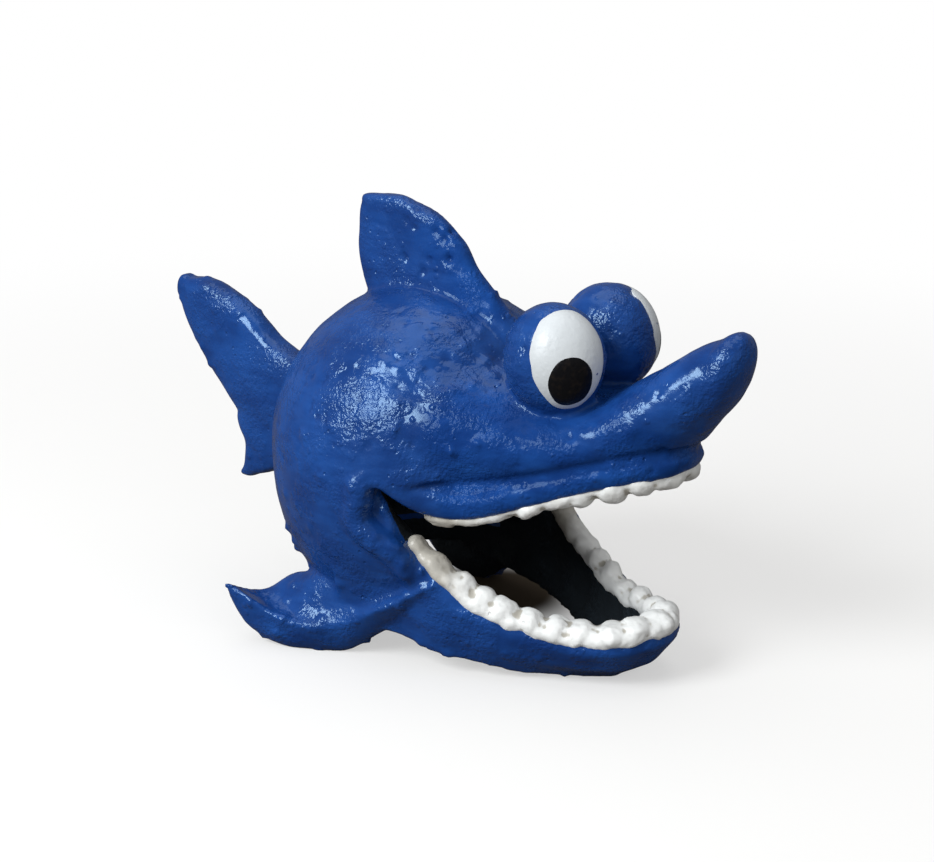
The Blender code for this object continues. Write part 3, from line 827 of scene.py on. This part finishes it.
def lobe_grid(stations, rows=60, count=72, tip_rows=14):
    """A flat lobe lofted over its stations and rounded off at its tip.

    At turn a, the section lies at mid + half chord sgn(cos a) |cos a|^(2/n) across, and half
    thickness sgn(sin a) |sin a|^(2/n) out, which is a box with round edges for n = 3.4.
    """
    squareness = 3.4
    flat = [(*lead, *trail, half) for lead, trail, half in stations]
    read = smooth_between(flat, np.linspace(0, 1, rows))
    lead, trail, half = read[:, :2], read[:, 2:4], read[:, 4]
    middle, chord = (lead + trail) / 2, (lead - trail) / 2
    onward = middle[-1] - middle[-4]
    onward /= np.linalg.norm(onward)
    turn = np.linspace(0, np.pi / 2, tip_rows + 2)[1:-1, None]
    cap = middle[-1] + onward * half[-1] * np.sin(turn)
    middle = np.vstack([middle, cap])
    chord = np.vstack([chord, chord[-1] * np.cos(turn) ** 0.6])
    half = np.concatenate([half, half[-1] * np.cos(turn[:, 0]) ** 0.6])
    turn = around(count)
    across = np.sign(np.cos(turn)) * np.abs(np.cos(turn)) ** (2 / squareness)
    out = np.sign(np.sin(turn)) * np.abs(np.sin(turn)) ** (2 / squareness)
    flat_part = middle[:, None] + chord[:, None] * across[None, :, None]
    return np.concatenate([np.outer(half, out)[..., None], flat_part], axis=-1)


def side_fin_grid(side, radius, rows=90, count=60):
    """A dished paddle: at each share along its five lines, a closed uniform B-spline ring.

    Between knots the ring is (a (1-t)3 + b (3t3 - 6t2 + 4) + c (-3t3 + 3t2 + 3t + 1) + d t3) / 6.
    The rim's knot counts twice, so that it is a sharper edge than the others.
    """
    shares = np.linspace(0, 1, rows)
    order = (0, 1, 2, 2, 3, 4)
    knots = np.stack([smooth_between(SIDE_FIN_LINES[k], shares) for k in order], axis=1)
    knots = knots * (side * radius, SIDE_FIN_LENGTH, BELLY_MIDDLE)
    at = np.linspace(0, len(order), count, endpoint=False)
    i = at.astype(int)
    t = (at - i)[None, :, None]
    a, b, c, d = (knots[:, (i + k) % len(order)] for k in (-1, 0, 1, 2))
    return (
        a * (1 - t) ** 3
        + b * (3 * t**3 - 6 * t**2 + 4)
        + c * (-3 * t**3 + 3 * t**2 + 3 * t + 1)
        + d * t**3
    ) / 6


def egg_grid(centre, half, rows=48, count=64):
    """Centre + (a cos p cos q, b cos p sin q, c sin p), p from pole to pole and q round."""
    p = np.linspace(-np.pi / 2, np.pi / 2, rows)[1:-1, None]
    q = around(count)[None]
    ball = np.stack([np.cos(p) * np.cos(q), np.cos(p) * np.sin(q), np.sin(p) + 0 * q], axis=-1)
    return np.asarray(centre) + ball * np.asarray(half)


def eye_centre(side, radius):
    """Middle of an eyeball, sunk into the top of the snout."""
    y, height, _, deep = snout_places(np.array([EYE_SHARE]), radius)[0]
    centre = np.array([side * EYE_HALF[0], y, height + deep - EYE_SINK + EYE_HALF[2]])
    return centre + (np.array(LEFT_EYE_SHIFT) if side > 0 else 0)


def left_share(points):
    """0 on the right side and 1 on the left one."""
    return soft_step(points[:, :1], 0.004, 0.014)


def lower_tooth_sizes(middle):
    """Smaller beside the mouth's corners, and thinner along the left side."""
    full = 0.70 + 0.30 * soft_step(-middle[:, 1:2], 0.012, 0.034)
    return np.array(LOWER_TOOTH_SIZE) * full * (1 - left_share(middle) * (0.06, 0.30, 0.10))


def upper_tooth_sizes(middle):
    """Deeper toward the front."""
    front = soft_step(-middle[:, 1:2], 0.030, 0.075)
    return np.array(UPPER_TOOTH_SIZE) * (1, 1, 0.85) + front * (0, 0.0006, 0.0026)


def middle_share(path, share):
    """The middle share of a path's points."""
    edge = int(len(path) * (1 - share) / 2)
    return path[edge:len(path) - edge]


def tooth_grids(path, count, sizes_at, seed):
    """Eggs evenly spaced along a path, their first axis along it.

    Sizes and places vary a little, from a seeded draw.
    """
    draw = np.random.default_rng(seed)
    run = np.concatenate([[0], np.cumsum(np.linalg.norm(np.diff(path, axis=0), axis=1))])
    steps = (np.arange(count) + 0.5 + draw.uniform(-0.13, 0.13, count)) / count * run[-1]
    middle = np.stack([np.interp(steps, run, path[:, k]) for k in range(3)], axis=1)
    ahead = np.stack([np.interp(steps + 0.001, run, path[:, k]) for k in range(3)], axis=1)
    along = unit(ahead - middle)
    across = unit(np.cross((0.0, 0.0, 1.0), along))
    turn = np.stack([along, across, np.cross(along, across)], axis=1)
    half = draw.uniform((0.84, 0.88, 0.80), (1.16, 1.10, 1.20), (count, 3)) * sizes_at(middle) / 2
    eggs = egg_grid((0, 0, 0), (1, 1, 1), 24, 32)[None] * half[:, None, None]
    return np.einsum("nrcu,nuk->nrck", eggs, turn) + middle[:, None, None]


def lower_band_grid(path):
    """The paint under the lower teeth: a tube that is as much narrower as the teeth are."""
    wide, tall, rise = LOWER_BAND
    full = lower_tooth_sizes(path)[:, 1] / LOWER_TOOTH_SIZE[1]
    return tube_grid(path + (0, 0, rise), wide * full, tall)


def upper_band_grid(path):
    """The paint over the upper teeth: an even tube."""
    wide, tall, rise = UPPER_BAND
    return tube_grid(path + (0, 0, rise), wide, tall)


# Surface


def scatter(points, patches, draw, radii):
    """Bumps or pits drawn at random in patches on both sides of the middle plane.

    Each adds its height times exp(-(d / r)2), d being the distance from its centre.
    """
    total = np.zeros(len(points))
    for centre, reach, count, height in patches:
        for side in (-1, 1):
            middle = np.array(centre) * (side, 1, 1)
            near = np.flatnonzero(((points - middle) ** 2).sum(1) < (1.3 * reach) ** 2)
            if not len(near):
                continue
            for seat in draw.choice(near, count):
                r = draw.uniform(*radii)
                gap = ((points[near] - points[seat]) ** 2).sum(1)
                total[near] += height * draw.uniform(0.6, 1.2) * np.exp(-gap / r**2)
    return total


def brow_folds(points):
    """Folds of skin from each eye up to the back fin: a sine across them, fading outward."""
    total = np.zeros(len(points))
    for side in (-1, 1):
        offset = (points - np.array(FOLDS_AT) * (side, 1, 1)) * (side, 1, 1)
        across = offset @ np.array(FOLDS_ACROSS)
        fade = np.exp(-(offset**2).sum(1) / FOLDS_REACH**2)
        wobble = 0.35 * layered_noise(points, 0.006, SEEDS["folds"], 2)
        total += FOLDS_HEIGHT * fade * np.sin(ROUND * (across / FOLDS_PITCH + wobble))
    return total


def dullness(points):
    """Share of dull paint: each patch's strength times exp(-(d / r)4), the strongest winning."""
    total = np.zeros(len(points))
    for centre, reach, strength in DULL_PATCHES:
        for side in (-1, 1):
            gap = ((points - np.array(centre) * (side, 1, 1)) ** 2).sum(1)
            total = np.maximum(total, strength * np.exp(-((gap / reach**2) ** 2)))
    return total


def lip_creases(points, sizes):
    """Depth from 0 to 1 of the two creases over the lip's roll: exp(-(d / w)2) across each.

    The height above the lip's edge is read along the edge's own slope, and the creases draw
    together toward the front.
    """
    lip = lip_path(sizes.belly_radius)
    run = np.gradient(lip, axis=0)
    run /= np.linalg.norm(run[:, :2], axis=1, keepdims=True)
    k = nearest(points[:, :2], lip[:, :2])
    offset = points - lip[k]
    along = (offset[:, :2] * run[k, :2]).sum(1)
    height = offset[:, 2] - along * run[k, 2]
    front = soft_step(-points[:, 1], 0.030, 0.090)
    height /= 1 - 0.25 * front
    near = (np.linalg.norm(offset[:, :2], axis=1) < 0.010) * soft_step(-points[:, 1], 0.020, 0.042)
    total = np.zeros(len(points))
    for middle, half in LIP_CREASES:
        total += np.exp(-(((height - middle) / half) ** 2))
    return np.minimum(total, 1) * near


def beside(points, path):
    """Each point's nearest place on a path seen from above, and how far outside it lies."""
    k = nearest(points[:, :2], path[:, :2])
    return k, ((points[:, :2] - path[k, :2]) * plan_normals(path)[k, :2]).sum(1)


def in_hollow(points, normals, radius, wall):
    """Within the hollow swelled by 1.6 mm, or on a face that looks inward round its foot."""
    reach = np.hypot(points[:, 0], points[:, 1])
    inner = belly_radii(points[:, 2], radius, wall)
    share = soft_step(inner + 0.0016 - reach, -0.0004, 0.0004)
    share *= soft_step(points[:, 1] - cheek_edge(points[:, 2]), -0.004, -0.001)
    share *= soft_step(BELLY_MIDDLE + BELLY_RISE - wall + 0.001 - points[:, 2], -0.0005, 0.0005)
    foot = soft_step(OPENING_RADIUS + 0.0015 - reach, -0.0004, 0.0004)
    inward = -(points[:, :2] * normals[:, :2]).sum(1) / np.maximum(reach, 1e-6)
    foot = np.maximum(foot, soft_step(inward, 0.3, 0.6) * (reach < 0.037))
    return np.maximum(share, foot * (points[:, 2] < 0.020) * (points[:, 1] > -0.03))


def behind_jaw(points, normals, radius, wall):
    """On the mouth's side of the lower jaw's wall, and not on its top."""
    jaw = jaw_places(radius, wall)
    k, out = beside(points, jaw)
    lean = jaw[k, 4] * np.clip(1 - points[:, 2] / np.maximum(jaw[k, 2], 1e-3), 0, 1)
    share = soft_step(-out - lean * 0.5, 0.0020, 0.0030)
    share *= (points[:, 2] < jaw[k, 2] + 0.004) * (normals[:, 2] < 0.9)
    return share * soft_step(-points[:, 1], 0.004, 0.006)


def under_lip(points, radius):
    """Under the upper lip, inside its edge."""
    lip = lip_path(radius)
    k, out = beside(points, lip)
    share = soft_step(-out, 0.0045, 0.0060)
    share *= soft_step(lip[k, 2] + 0.0080 - points[:, 2], -0.0005, 0.0005)
    return share * (points[:, 2] > BELLY_MIDDLE * 0.7) * soft_step(-points[:, 1], 0.002, 0.004)


def inside_field(points, normals, sizes):
    """How surely each point is on the black inside, from 0 to 1: the most of three shares."""
    radius, wall = sizes.belly_radius, sizes.wall
    shares = [
        in_hollow(points, normals, radius, wall),
        behind_jaw(points, normals, radius, wall),
        under_lip(points, radius),
    ]
    return np.clip(np.maximum.reduce(shares), 0, 1)


# Paint


class Reading:
    """A shader socket that takes Python's arithmetic, each operator adding one Math node."""

    def __init__(self, recipe, socket):
        self.recipe = recipe
        self.socket = socket

    def __add__(self, other):
        return self.recipe.maths("ADD", self, other)

    def __sub__(self, other):
        return self.recipe.maths("SUBTRACT", self, other)

    def __rsub__(self, other):
        return self.recipe.maths("SUBTRACT", other, self)

    def __mul__(self, other):
        return self.recipe.maths("MULTIPLY", self, other)

    __radd__ = __add__
    __rmul__ = __mul__


class Recipe:
    """One material while it is being written."""

    def __init__(self, name):
        self.material = bpy.data.materials.new(name)
        self.material.use_nodes = True
        self.tree = self.material.node_tree
        self.tree.nodes.clear()
        self.place = self.node("ShaderNodeTexCoord", output="Object")

    def node(self, kind, settings=None, values=None, output=0):
        """A node of a kind, its settings made first, then its sockets filled or linked."""
        made = self.tree.nodes.new(kind)
        for name, value in (settings or {}).items():
            setattr(made, name, value)
        for name, value in (values or {}).items():
            if isinstance(value, Reading):
                self.tree.links.new(value.socket, made.inputs[name])
            else:
                made.inputs[name].default_value = value
        return Reading(self, made.outputs[output]) if made.outputs else None

    def maths(self, operation, *operands):
        """One Math node on numbers and readings."""
        return self.node("ShaderNodeMath", {"operation": operation}, dict(enumerate(operands)))

    def noise(self, size, detail=2.0, stretch=None, roughness=0.5):
        """Noise from 0 to 1 with features about so large, in metres."""
        place = self.place
        if stretch:
            place = self.node("ShaderNodeMapping", None, {"Vector": place, "Scale": stretch})
        values = {"Vector": place, "Scale": 1 / size, "Detail": detail, "Roughness": roughness}
        return self.node("ShaderNodeTexNoise", None, values)

    def cells(self, size):
        """Distance from the nearest of points scattered about so far apart, in metres."""
        return self.node("ShaderNodeTexVoronoi", None, {"Vector": self.place, "Scale": 1 / size})

    def step(self, value, low, high):
        """0 below low and 1 above high, smooth between them."""
        values = {"Value": value, "From Min": low, "From Max": high}
        return self.node("ShaderNodeMapRange", {"interpolation_type": "SMOOTHSTEP"}, values)

    def attribute(self, name):
        """A number that the mesh holds at each point."""
        return self.node("ShaderNodeAttribute", {"attribute_name": name}, output="Fac")

    def distance(self, place):
        """How far the shaded point lies from a place."""
        values = {0: self.place, 1: place}
        return self.node("ShaderNodeVectorMath", {"operation": "DISTANCE"}, values, "Value")

    def blend(self, share, first, second):
        """Two colours mixed by a share from 0 to 1."""
        values = {0: share, 6: first, 7: second}
        return self.node("ShaderNodeMix", {"data_type": "RGBA"}, values, output=2)

    def mixed(self, share, first, second):
        """Two shaders mixed by a share from 0 to 1."""
        return self.node("ShaderNodeMixShader", None, {0: share, 1: first, 2: second})

    def bump(self, height, distance, strength):
        """A bumped normal: height from 0 to 1 stands for the distance in metres."""
        values = {"Height": height, "Distance": distance, "Strength": strength}
        return self.node("ShaderNodeBump", None, values)

    def finish(self, values, dull=0.0):
        """A Principled surface, and for a share of dull paint the same with a faint gloss."""
        shader = self.node("ShaderNodeBsdfPrincipled", None, values)
        if dull:
            values = {**values, "Specular IOR Level": FAINT_GLOSS}
            shader = self.mixed(dull, shader, self.node("ShaderNodeBsdfPrincipled", None, values))
        self.node("ShaderNodeOutputMaterial", None, {"Surface": shader})
        return self.material


def colour(values):
    """Red, green and blue, made solid."""
    return (*values, 1.0)


def blue_enamel(colours):
    """Thick blue gloss over a pitted casting, black on the inside."""
    r = Recipe("blue_enamel")
    cloud = r.noise(0.016, 4.0)
    brush = r.noise(0.004, 3.0, (1.0, 0.35, 1.6))
    dip = r.attribute("dip")
    inside = r.step(r.attribute("inside") + (r.noise(0.002) - 0.5) * 0.5, 0.45, 0.55)
    shade = r.step(cloud * 0.65 + brush * 0.35, 0.30, 0.72)
    blue = r.blend(shade, colour(colours.deep_blue), colour(colours.blue))
    # Deeper blue in the dips: partly thicker enamel, partly painted shade.
    blue = r.blend(r.step(dip, 0.25, 1.0) * 0.55, blue, colour(colours.deep_blue))
    paint = r.blend(inside, blue, colour(colours.black))
    rough_patch = r.step(r.noise(0.011, 3.0), 0.42, 0.58)
    peel = r.noise(0.0011, 1.5, roughness=0.6)
    swell = r.noise(0.0032, 2.0)
    blister = 1 - r.step(r.cells(0.0034), 0.10, 0.34)
    chosen = r.step(r.noise(0.007, 1.0), 0.53, 0.60)
    pit = 1 - r.step(r.cells(0.0026), 0.06, 0.22)
    height = swell * 0.25 + peel * (0.10 + rough_patch * 0.80) + blister * chosen * 0.35
    height = height - pit * r.step(r.noise(0.009, 1.0), 0.55, 0.62) * 0.4
    roughness = 0.15 + rough_patch * 0.06 + r.step(brush, 0.40, 0.75) * 0.10 + inside * 0.45
    dull = r.step(r.attribute("dull") + (r.noise(0.006, 3.0) - 0.5) * 0.9, 0.15, 0.75)
    return r.finish({
        "Base Color": paint,
        "Roughness": roughness,
        "Specular Tint": colour(SHEEN),
        "Normal": r.bump(height, 0.0006, 0.85),
    }, dull)


def white_enamel(name, paint_colour, colours):
    """White gloss, brighter on lumps, darker in dips: stained thin paint and painted shade."""
    r = Recipe(name)
    # Darker in the dips: partly thin stained paint, partly painted shade.
    stain_and_shade_share = r.step(r.attribute("dip") + (r.noise(0.004, 3.0) - 0.5) * 0.5, 0.15, 0.95)
    paint = r.blend(stain_and_shade_share * 0.85, colour(paint_colour), colour(colours.stain_and_shade))
    peel = r.noise(0.0016, 3.0, roughness=0.6)
    pit = 1 - r.step(r.cells(0.0040), 0.05, 0.16)
    height = peel * 0.5 + r.noise(0.004) * 0.5 - pit * r.step(r.noise(0.008), 0.55, 0.6) * 0.8
    return r.finish({
        "Base Color": paint,
        "Roughness": 0.30 + peel * 0.15,
        "Normal": r.bump(height, 0.0005, 0.6),
    })


def black_enamel(colours):
    """Black gloss of the pupils, a little dusty."""
    r = Recipe("black_enamel")
    dust = r.step(r.noise(0.0015, 4.0), 0.45, 0.75)
    paint = r.blend(dust * 0.5, colour(colours.black), colour(colours.dust))
    return r.finish({
        "Base Color": paint,
        "Specular IOR Level": PUPIL_GLOSS,
        "Roughness": 0.28 + dust * 0.2,
        "Normal": r.bump(r.noise(0.0012, 2.0), 0.0003, 0.5),
    })


# Operators


def settings():
    """The scene's sizes and colours."""
    scene = bpy.context.scene
    return scene.shark_sizes, scene.shark_colours


def make_cutters(sizes):
    """Objects that cut the blue forms, by name."""
    radius, wall = sizes.belly_radius, sizes.wall
    shapes = {
        "hollow": hollow_grid(radius, wall),
        "mouth_opening": mouth_opening_grid(radius),
        "throat": throat_grid(),
        "palate": lip_grid(radius, PALATE_SECTION, PALATE_DEPTH, 9),
        "right_pocket": pocket_grid(-1),
        "left_pocket": pocket_grid(1),
    }
    return {name: new_object(name, skins(name, [grid])) for name, grid in shapes.items()}


def blue_forms(sizes):
    """Meshes of every blue form, cut by the hollow where they reach into it."""
    radius, wall = sizes.belly_radius, sizes.wall
    knife = make_cutters(sizes)
    hollow = knife["hollow"]
    pockets = knife["right_pocket"], knife["left_pocket"]
    belly = skins("belly", [turned_grid(belly_profile(radius))])
    lip = skins("lip", [lip_grid(radius, LIP_SECTION, LIP_HEIGHT, 60)])
    forms = [
        cut(belly, knife["mouth_opening"], knife["throat"], hollow, *pockets),
        cut(skins("snout", [snout_grid(radius)]), hollow),
        cut(lip, knife["palate"], hollow),
        cut(skins("back_fin", [lobe_grid(BACK_FIN)]), hollow),
        cut(skins("tail_upper", [lobe_grid(TAIL_UPPER)]), hollow),
        cut(skins("tail_lower", [lobe_grid(TAIL_LOWER)]), hollow),
        cut(skins("lower_jaw", [jaw_grid(radius, wall)]), *pockets),
    ]
    for side in (-1, 1):
        forms.append(cut(skins("side_fin", [side_fin_grid(side, radius)]), hollow))
        forms.append(skins("cheek_rim", [cheek_rim_grid(side, radius)]))
        forms.append(skins("eyeball", [egg_grid(eye_centre(side, radius), EYE_HALF)]))
    for cutter in knife.values():
        bpy.data.objects.remove(cutter)
    return forms


class SHARK_OT_casting(bpy.types.Operator):
    """Fuse the blue forms into one casting with its lumps, folds, warts and pits"""

    bl_idname = "shark.casting"
    bl_label = "Casting"

    def execute(self, context):
        sizes, colours = settings()
        forms = joined("forms", blue_forms(sizes))
        mesh = fused(CASTING, forms, sizes.grain, CASTING_SMOOTHING)
        points, normals = read_points(mesh), read_normals(mesh)
        inside = inside_field(points, normals, sizes)
        draw = np.random.default_rng(SEEDS["scatter"])
        push = sizes.lumps * layered_noise(points, CASTING_LUMP_SIZE, SEEDS["lumps"], 3)
        push += brow_folds(points) - LIP_CREASE_DEPTH * lip_creases(points, sizes)
        push += scatter(points, WART_PATCHES, draw, WART_RADII)
        push += scatter(points, PIT_PATCHES, draw, PIT_RADII)
        points += (push * (1 - inside))[:, None] * normals
        points[:, 2] = np.maximum(points[:, 2], 0)
        write_points(mesh, points)
        write_value(mesh, "inside", inside)
        write_value(mesh, "dull", dullness(points))
        write_value(mesh, "dip", dips(mesh, *CASTING_DIP))
        deep = np.flatnonzero(inside > 0.99)
        body = new_object("body", mesh)
        body.vertex_groups.new(name="deep").add(deep.tolist(), 1.0, "REPLACE")
        thin_out = body.modifiers.new("thin_out", "DECIMATE")
        thin_out.vertex_group = "deep"
        thin_out.ratio = 1 - DEEP_LOSS * len(deep) / len(points)
        piece = finished("casting_paint", evaluated(body), blue_enamel(colours))
        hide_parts(CASTING)
        return {"FINISHED"}


def tooth_row(name, path, band, count, sizes_at, stain_and_shade, sizes, colours):
    """A row of lumps on a band of paint, fused, with its dips and corners marked darker:
    stain and painted shade.
    """
    seed = SEEDS[name]
    grids = [*tooth_grids(path, count, sizes_at, seed), band]
    mesh = fused(name, new_object(name, skins(name, grids)), sizes.tooth_grain, TOOTH_SMOOTHING)
    points, normals = read_points(mesh), read_normals(mesh)
    lumps = TOOTH_LUMPS * layered_noise(points, TOOTH_LUMP_SIZE, seed, 3)
    points += lumps[:, None] * normals
    write_points(mesh, points)
    # Darker ends by the mouth's corners and a darker upper row: partly stain, partly painted shade.
    corner = soft_step(points[:, 1], *CORNER_STAIN_AND_SHADE)
    write_value(mesh, "dip", np.clip(dips(mesh, *TOOTH_DIP) + corner + stain_and_shade, 0, 1))
    finished(name, mesh, white_enamel(name + "_white", colours.white, colours))


class SHARK_OT_teeth(bpy.types.Operator):
    """Set the two rows of lumpy white teeth in the jaws"""

    bl_idname = "shark.teeth"
    bl_label = "Teeth"

    def execute(self, context):
        sizes, colours = settings()
        jaw = jaw_places(sizes.belly_radius, sizes.wall)[:, :3]
        jaw[:, 2] += LOWER_TOOTH_STAND * LOWER_TOOTH_SIZE[2]
        jaw -= LEFT_ROW_INSET * left_share(jaw) * plan_normals(jaw)
        jaw = middle_share(jaw, LOWER_ROW_SHARE)
        tooth_row("lower_teeth", jaw, lower_band_grid(jaw), sizes.lower_teeth,
                  lower_tooth_sizes, 0.0, sizes, colours)
        lip = lip_path(sizes.belly_radius)
        lip = lip - LIP_THICKNESS / 2 * plan_normals(lip)
        lip[:, 2] -= UPPER_TOOTH_STAND * UPPER_TOOTH_SIZE[2]
        lip = middle_share(lip, UPPER_ROW_SHARE)
        tooth_row("upper_teeth", lip, upper_band_grid(lip), sizes.upper_teeth,
                  upper_tooth_sizes, UPPER_STAIN_AND_SHADE, sizes, colours)
        return {"FINISHED"}


def gaze_frame(side):
    """The white's own directions: across, up and outward along the gaze."""
    turn = side * GAZE_TURN[side]
    out = np.array([
        math.sin(turn) * math.cos(GAZE_LIFT), -math.cos(turn) * math.cos(GAZE_LIFT),
        math.sin(GAZE_LIFT),
    ])
    across = np.cross(out, (0.0, 0.0, 1.0))
    across /= np.linalg.norm(across)
    return across, np.cross(across, out), out


def eye_patch_grid(side, radius, middle, half, proud, seed, rows=40, count=120):
    """A film of paint on the eyeball, closed by a second layer under its surface.

    At share s from the middle and turn q, the direction is across (m + s a cos q) + up
    (n + s b sin q) + outward by what is left of 1, and it is carried out to the egg and then
    proud of it by the film (1 - s^8), with an edge that wavers by a few hundredths.
    """
    q = around(count)
    ring = np.column_stack([np.cos(q), np.sin(q), np.zeros(count)])
    waver = 1 + FILM_WAVER * layered_noise(ring * 1.6 + seed, 1.0, seed, 2)
    share = np.sin(np.linspace(0.02, 1, rows) * np.pi / 2)
    a = middle[0] + np.outer(share, half[0] * np.cos(q) * waver)
    b = middle[1] + np.outer(share, half[1] * np.sin(q) * waver)
    across, up, out = gaze_frame(side)
    depth = np.sqrt(np.clip(1 - a**2 - b**2, 0.0004, 1))
    ways = a[..., None] * across + b[..., None] * up + depth[..., None] * out
    rise = proud * (1 - share[:, None, None] ** 8) - FILM_EDGE_DEPTH
    outer = eye_centre(side, radius) + ways * (np.array(EYE_HALF) + rise)
    inner = eye_centre(side, radius) + ways * (np.array(EYE_HALF) - FILM_DEPTH)
    return np.concatenate([outer, inner[::-1]])


class SHARK_OT_eyes(bpy.types.Operator):
    """Paint the whites of the eyes and the pupils as thick films"""

    bl_idname = "shark.eyes"
    bl_label = "Eyes"

    def execute(self, context):
        sizes, colours = settings()
        white = white_enamel("eye_white", colours.eye_white, colours)
        black = black_enamel(colours)
        radius, film = sizes.belly_radius, sizes.paint_film
        for side, word in ((-1, "right"), (1, "left")):
            grid = eye_patch_grid(side, radius, (0, 0), WHITE_HALF, film, SEEDS["white"])
            mesh = skins("eye_white_" + word, [grid])
            write_value(mesh, "dip", np.zeros(len(mesh.vertices)))
            finished("eye_white_" + word, mesh, white)
            at, proud = (-side * PUPIL_AT[0], PUPIL_AT[1]), PUPIL_FILMS * film
            grid = eye_patch_grid(side, radius, at, PUPIL_HALF, proud, SEEDS["pupil"])
            finished("pupil_" + word, skins("pupil_" + word, [grid]), black)
        return {"FINISHED"}


def area_light(name, place, sides, power, tint, mirrored):
    """A soft lamp turned toward the casting's middle."""
    light = bpy.data.lights.new(name, "AREA")
    light.shape = "RECTANGLE"
    light.size, light.size_y = sides
    light.energy = power
    light.color = tint
    made = new_object(name, light)
    made.location = place
    made.rotation_mode = "QUATERNION"
    made.rotation_quaternion = (Vector(LAMPS_AIM) - Vector(place)).to_track_quat("-Z", "Y")
    made.visible_glossy = mirrored


def pale_world():
    """A pale room: white to the camera, softer in its light and its reflections."""
    world = bpy.data.worlds.new("pale_room")
    bpy.context.scene.world = world
    world.use_nodes = True
    tree = world.node_tree
    tree.nodes.clear()
    path = tree.nodes.new("ShaderNodeLightPath")
    shader = None
    for ray, strength in ((None, ROOM), ("Is Glossy Ray", ROOM_MIRRORED), ("Is Camera Ray", 1.0)):
        plain = tree.nodes.new("ShaderNodeBackground")
        plain.inputs["Strength"].default_value = strength
        plain.inputs["Color"].default_value = (1.0, 1.0, 1.0, 1.0)
        if ray:
            mix = tree.nodes.new("ShaderNodeMixShader")
            tree.links.new(path.outputs[ray], mix.inputs[0])
            tree.links.new(shader.outputs[0], mix.inputs[1])
            tree.links.new(plain.outputs[0], mix.inputs[2])
            shader = mix
        else:
            shader = plain
    out = tree.nodes.new("ShaderNodeOutputWorld")
    tree.links.new(shader.outputs[0], out.inputs["Surface"])


def pale_floor(colours):
    """A wide pale floor, which the casting lights and mirrors only weakly.

    To the camera it keeps the shadow near by, turns white further off, and carries a
    painted shade under the hollow.
    """
    mesh = bpy.data.meshes.new("floor")
    half = FLOOR_HALF
    mesh.from_pydata([(-half, -half, 0), (half, -half, 0), (half, half, 0), (-half, half, 0)],
                     [], [(0, 1, 2, 3)])
    floor = new_object("floor", mesh)
    r = Recipe("pale_floor")
    seen = r.node("ShaderNodeLightPath", output="Is Camera Ray")
    far = r.step(r.distance((0, 0, 0)), *FLOOR_FADE)
    # Painted shade: a darker floor colour round the spot under the hollow.
    open_air = r.step(r.distance(SHADE_AT), *SHADE_FADE)
    shade = r.blend(open_air, colour(SHADED_FLOOR), colour(colours.floor))
    lit = r.node("ShaderNodeBsdfDiffuse", None, {"Color": shade})
    glow = r.node("ShaderNodeEmission", None, {"Color": colour((1, 1, 1)), "Strength": 1.0})
    dim = r.node("ShaderNodeBsdfDiffuse", None, {"Color": colour(DIM_FLOOR)})
    backdrop = r.mixed(open_air * 0.5 + far * 0.5, lit, glow)
    r.node("ShaderNodeOutputMaterial", None, {"Surface": r.mixed(seen, dim, backdrop)})
    mesh.materials.append(r.material)


def photo_camera():
    """A camera on the photograph's line of sight, turned so the belly lands on its pixel."""
    target = Vector((0, AXIS_Y, BELLY_MIDDLE))
    back = Vector((
        math.sin(CAMERA_TURN) * math.cos(CAMERA_LIFT),
        -math.cos(CAMERA_TURN) * math.cos(CAMERA_LIFT),
        math.sin(CAMERA_LIFT),
    ))
    focal = PIXELS_PER_METRE * CAMERA_DISTANCE
    straight = (-back).to_track_quat("-Z", "Y")
    right, up = straight @ Vector((1, 0, 0)), straight @ Vector((0, 1, 0))
    across = (TARGET_PIXEL[0] - IMAGE[0] / 2) / focal
    down = (TARGET_PIXEL[1] - IMAGE[1] / 2) / focal
    data = bpy.data.cameras.new("photo_camera")
    data.sensor_width = SENSOR
    data.lens = focal * SENSOR / IMAGE[0]
    data.clip_start = 0.01
    camera = new_object("photo_camera", data)
    camera.location = target + back * CAMERA_DISTANCE
    camera.rotation_mode = "QUATERNION"
    aim = -back - right * across + up * down
    camera.rotation_quaternion = aim.to_track_quat("-Z", "Y")
    bpy.context.scene.camera = camera


class SHARK_OT_stage(bpy.types.Operator):
    """Set the pale floor, the soft lights and the photograph's camera"""

    bl_idname = "shark.stage"
    bl_label = "Stage"

    def execute(self, context):
        bpy.context.scene.view_settings.view_transform = "Standard"
        pale_world()
        pale_floor(settings()[1])
        for lamp in LAMPS:
            area_light(*lamp)
        photo_camera()
        return {"FINISHED"}


class SHARK_PT_panel(bpy.types.Panel):
    """Sizes, colours and steps of the shark"""

    bl_idname = "SHARK_PT_panel"
    bl_label = "Shark"
    bl_space_type = "VIEW_3D"
    bl_region_type = "UI"
    bl_category = "Shark"

    def draw(self, context):
        for group in settings():
            box = self.layout.box()
            for name in group.__annotations__:
                box.prop(group, name)
        for step in STEPS:
            self.layout.operator(step.bl_idname)


STEPS = (SHARK_OT_casting, SHARK_OT_teeth, SHARK_OT_eyes, SHARK_OT_stage)
CLASSES = (CastingSizes, PaintColours, *STEPS, SHARK_PT_panel)


def register():
    """Makes the classes known, and hangs the sizes and colours on the scene."""
    for cls in CLASSES:
        bpy.utils.register_class(cls)
    bpy.types.Scene.shark_sizes = PointerProperty(type=CastingSizes)
    bpy.types.Scene.shark_colours = PointerProperty(type=PaintColours)


def unregister():
    """Takes back what register did."""
    del bpy.types.Scene.shark_colours
    del bpy.types.Scene.shark_sizes
    for cls in reversed(CLASSES):
        bpy.utils.unregister_class(cls)


def main():
    """Builds the casting and the stage."""
    register()
    bpy.ops.shark.casting()
    bpy.ops.shark.teeth()
    bpy.ops.shark.eyes()
    bpy.ops.shark.stage()


if __name__ == "__main__":
    main()
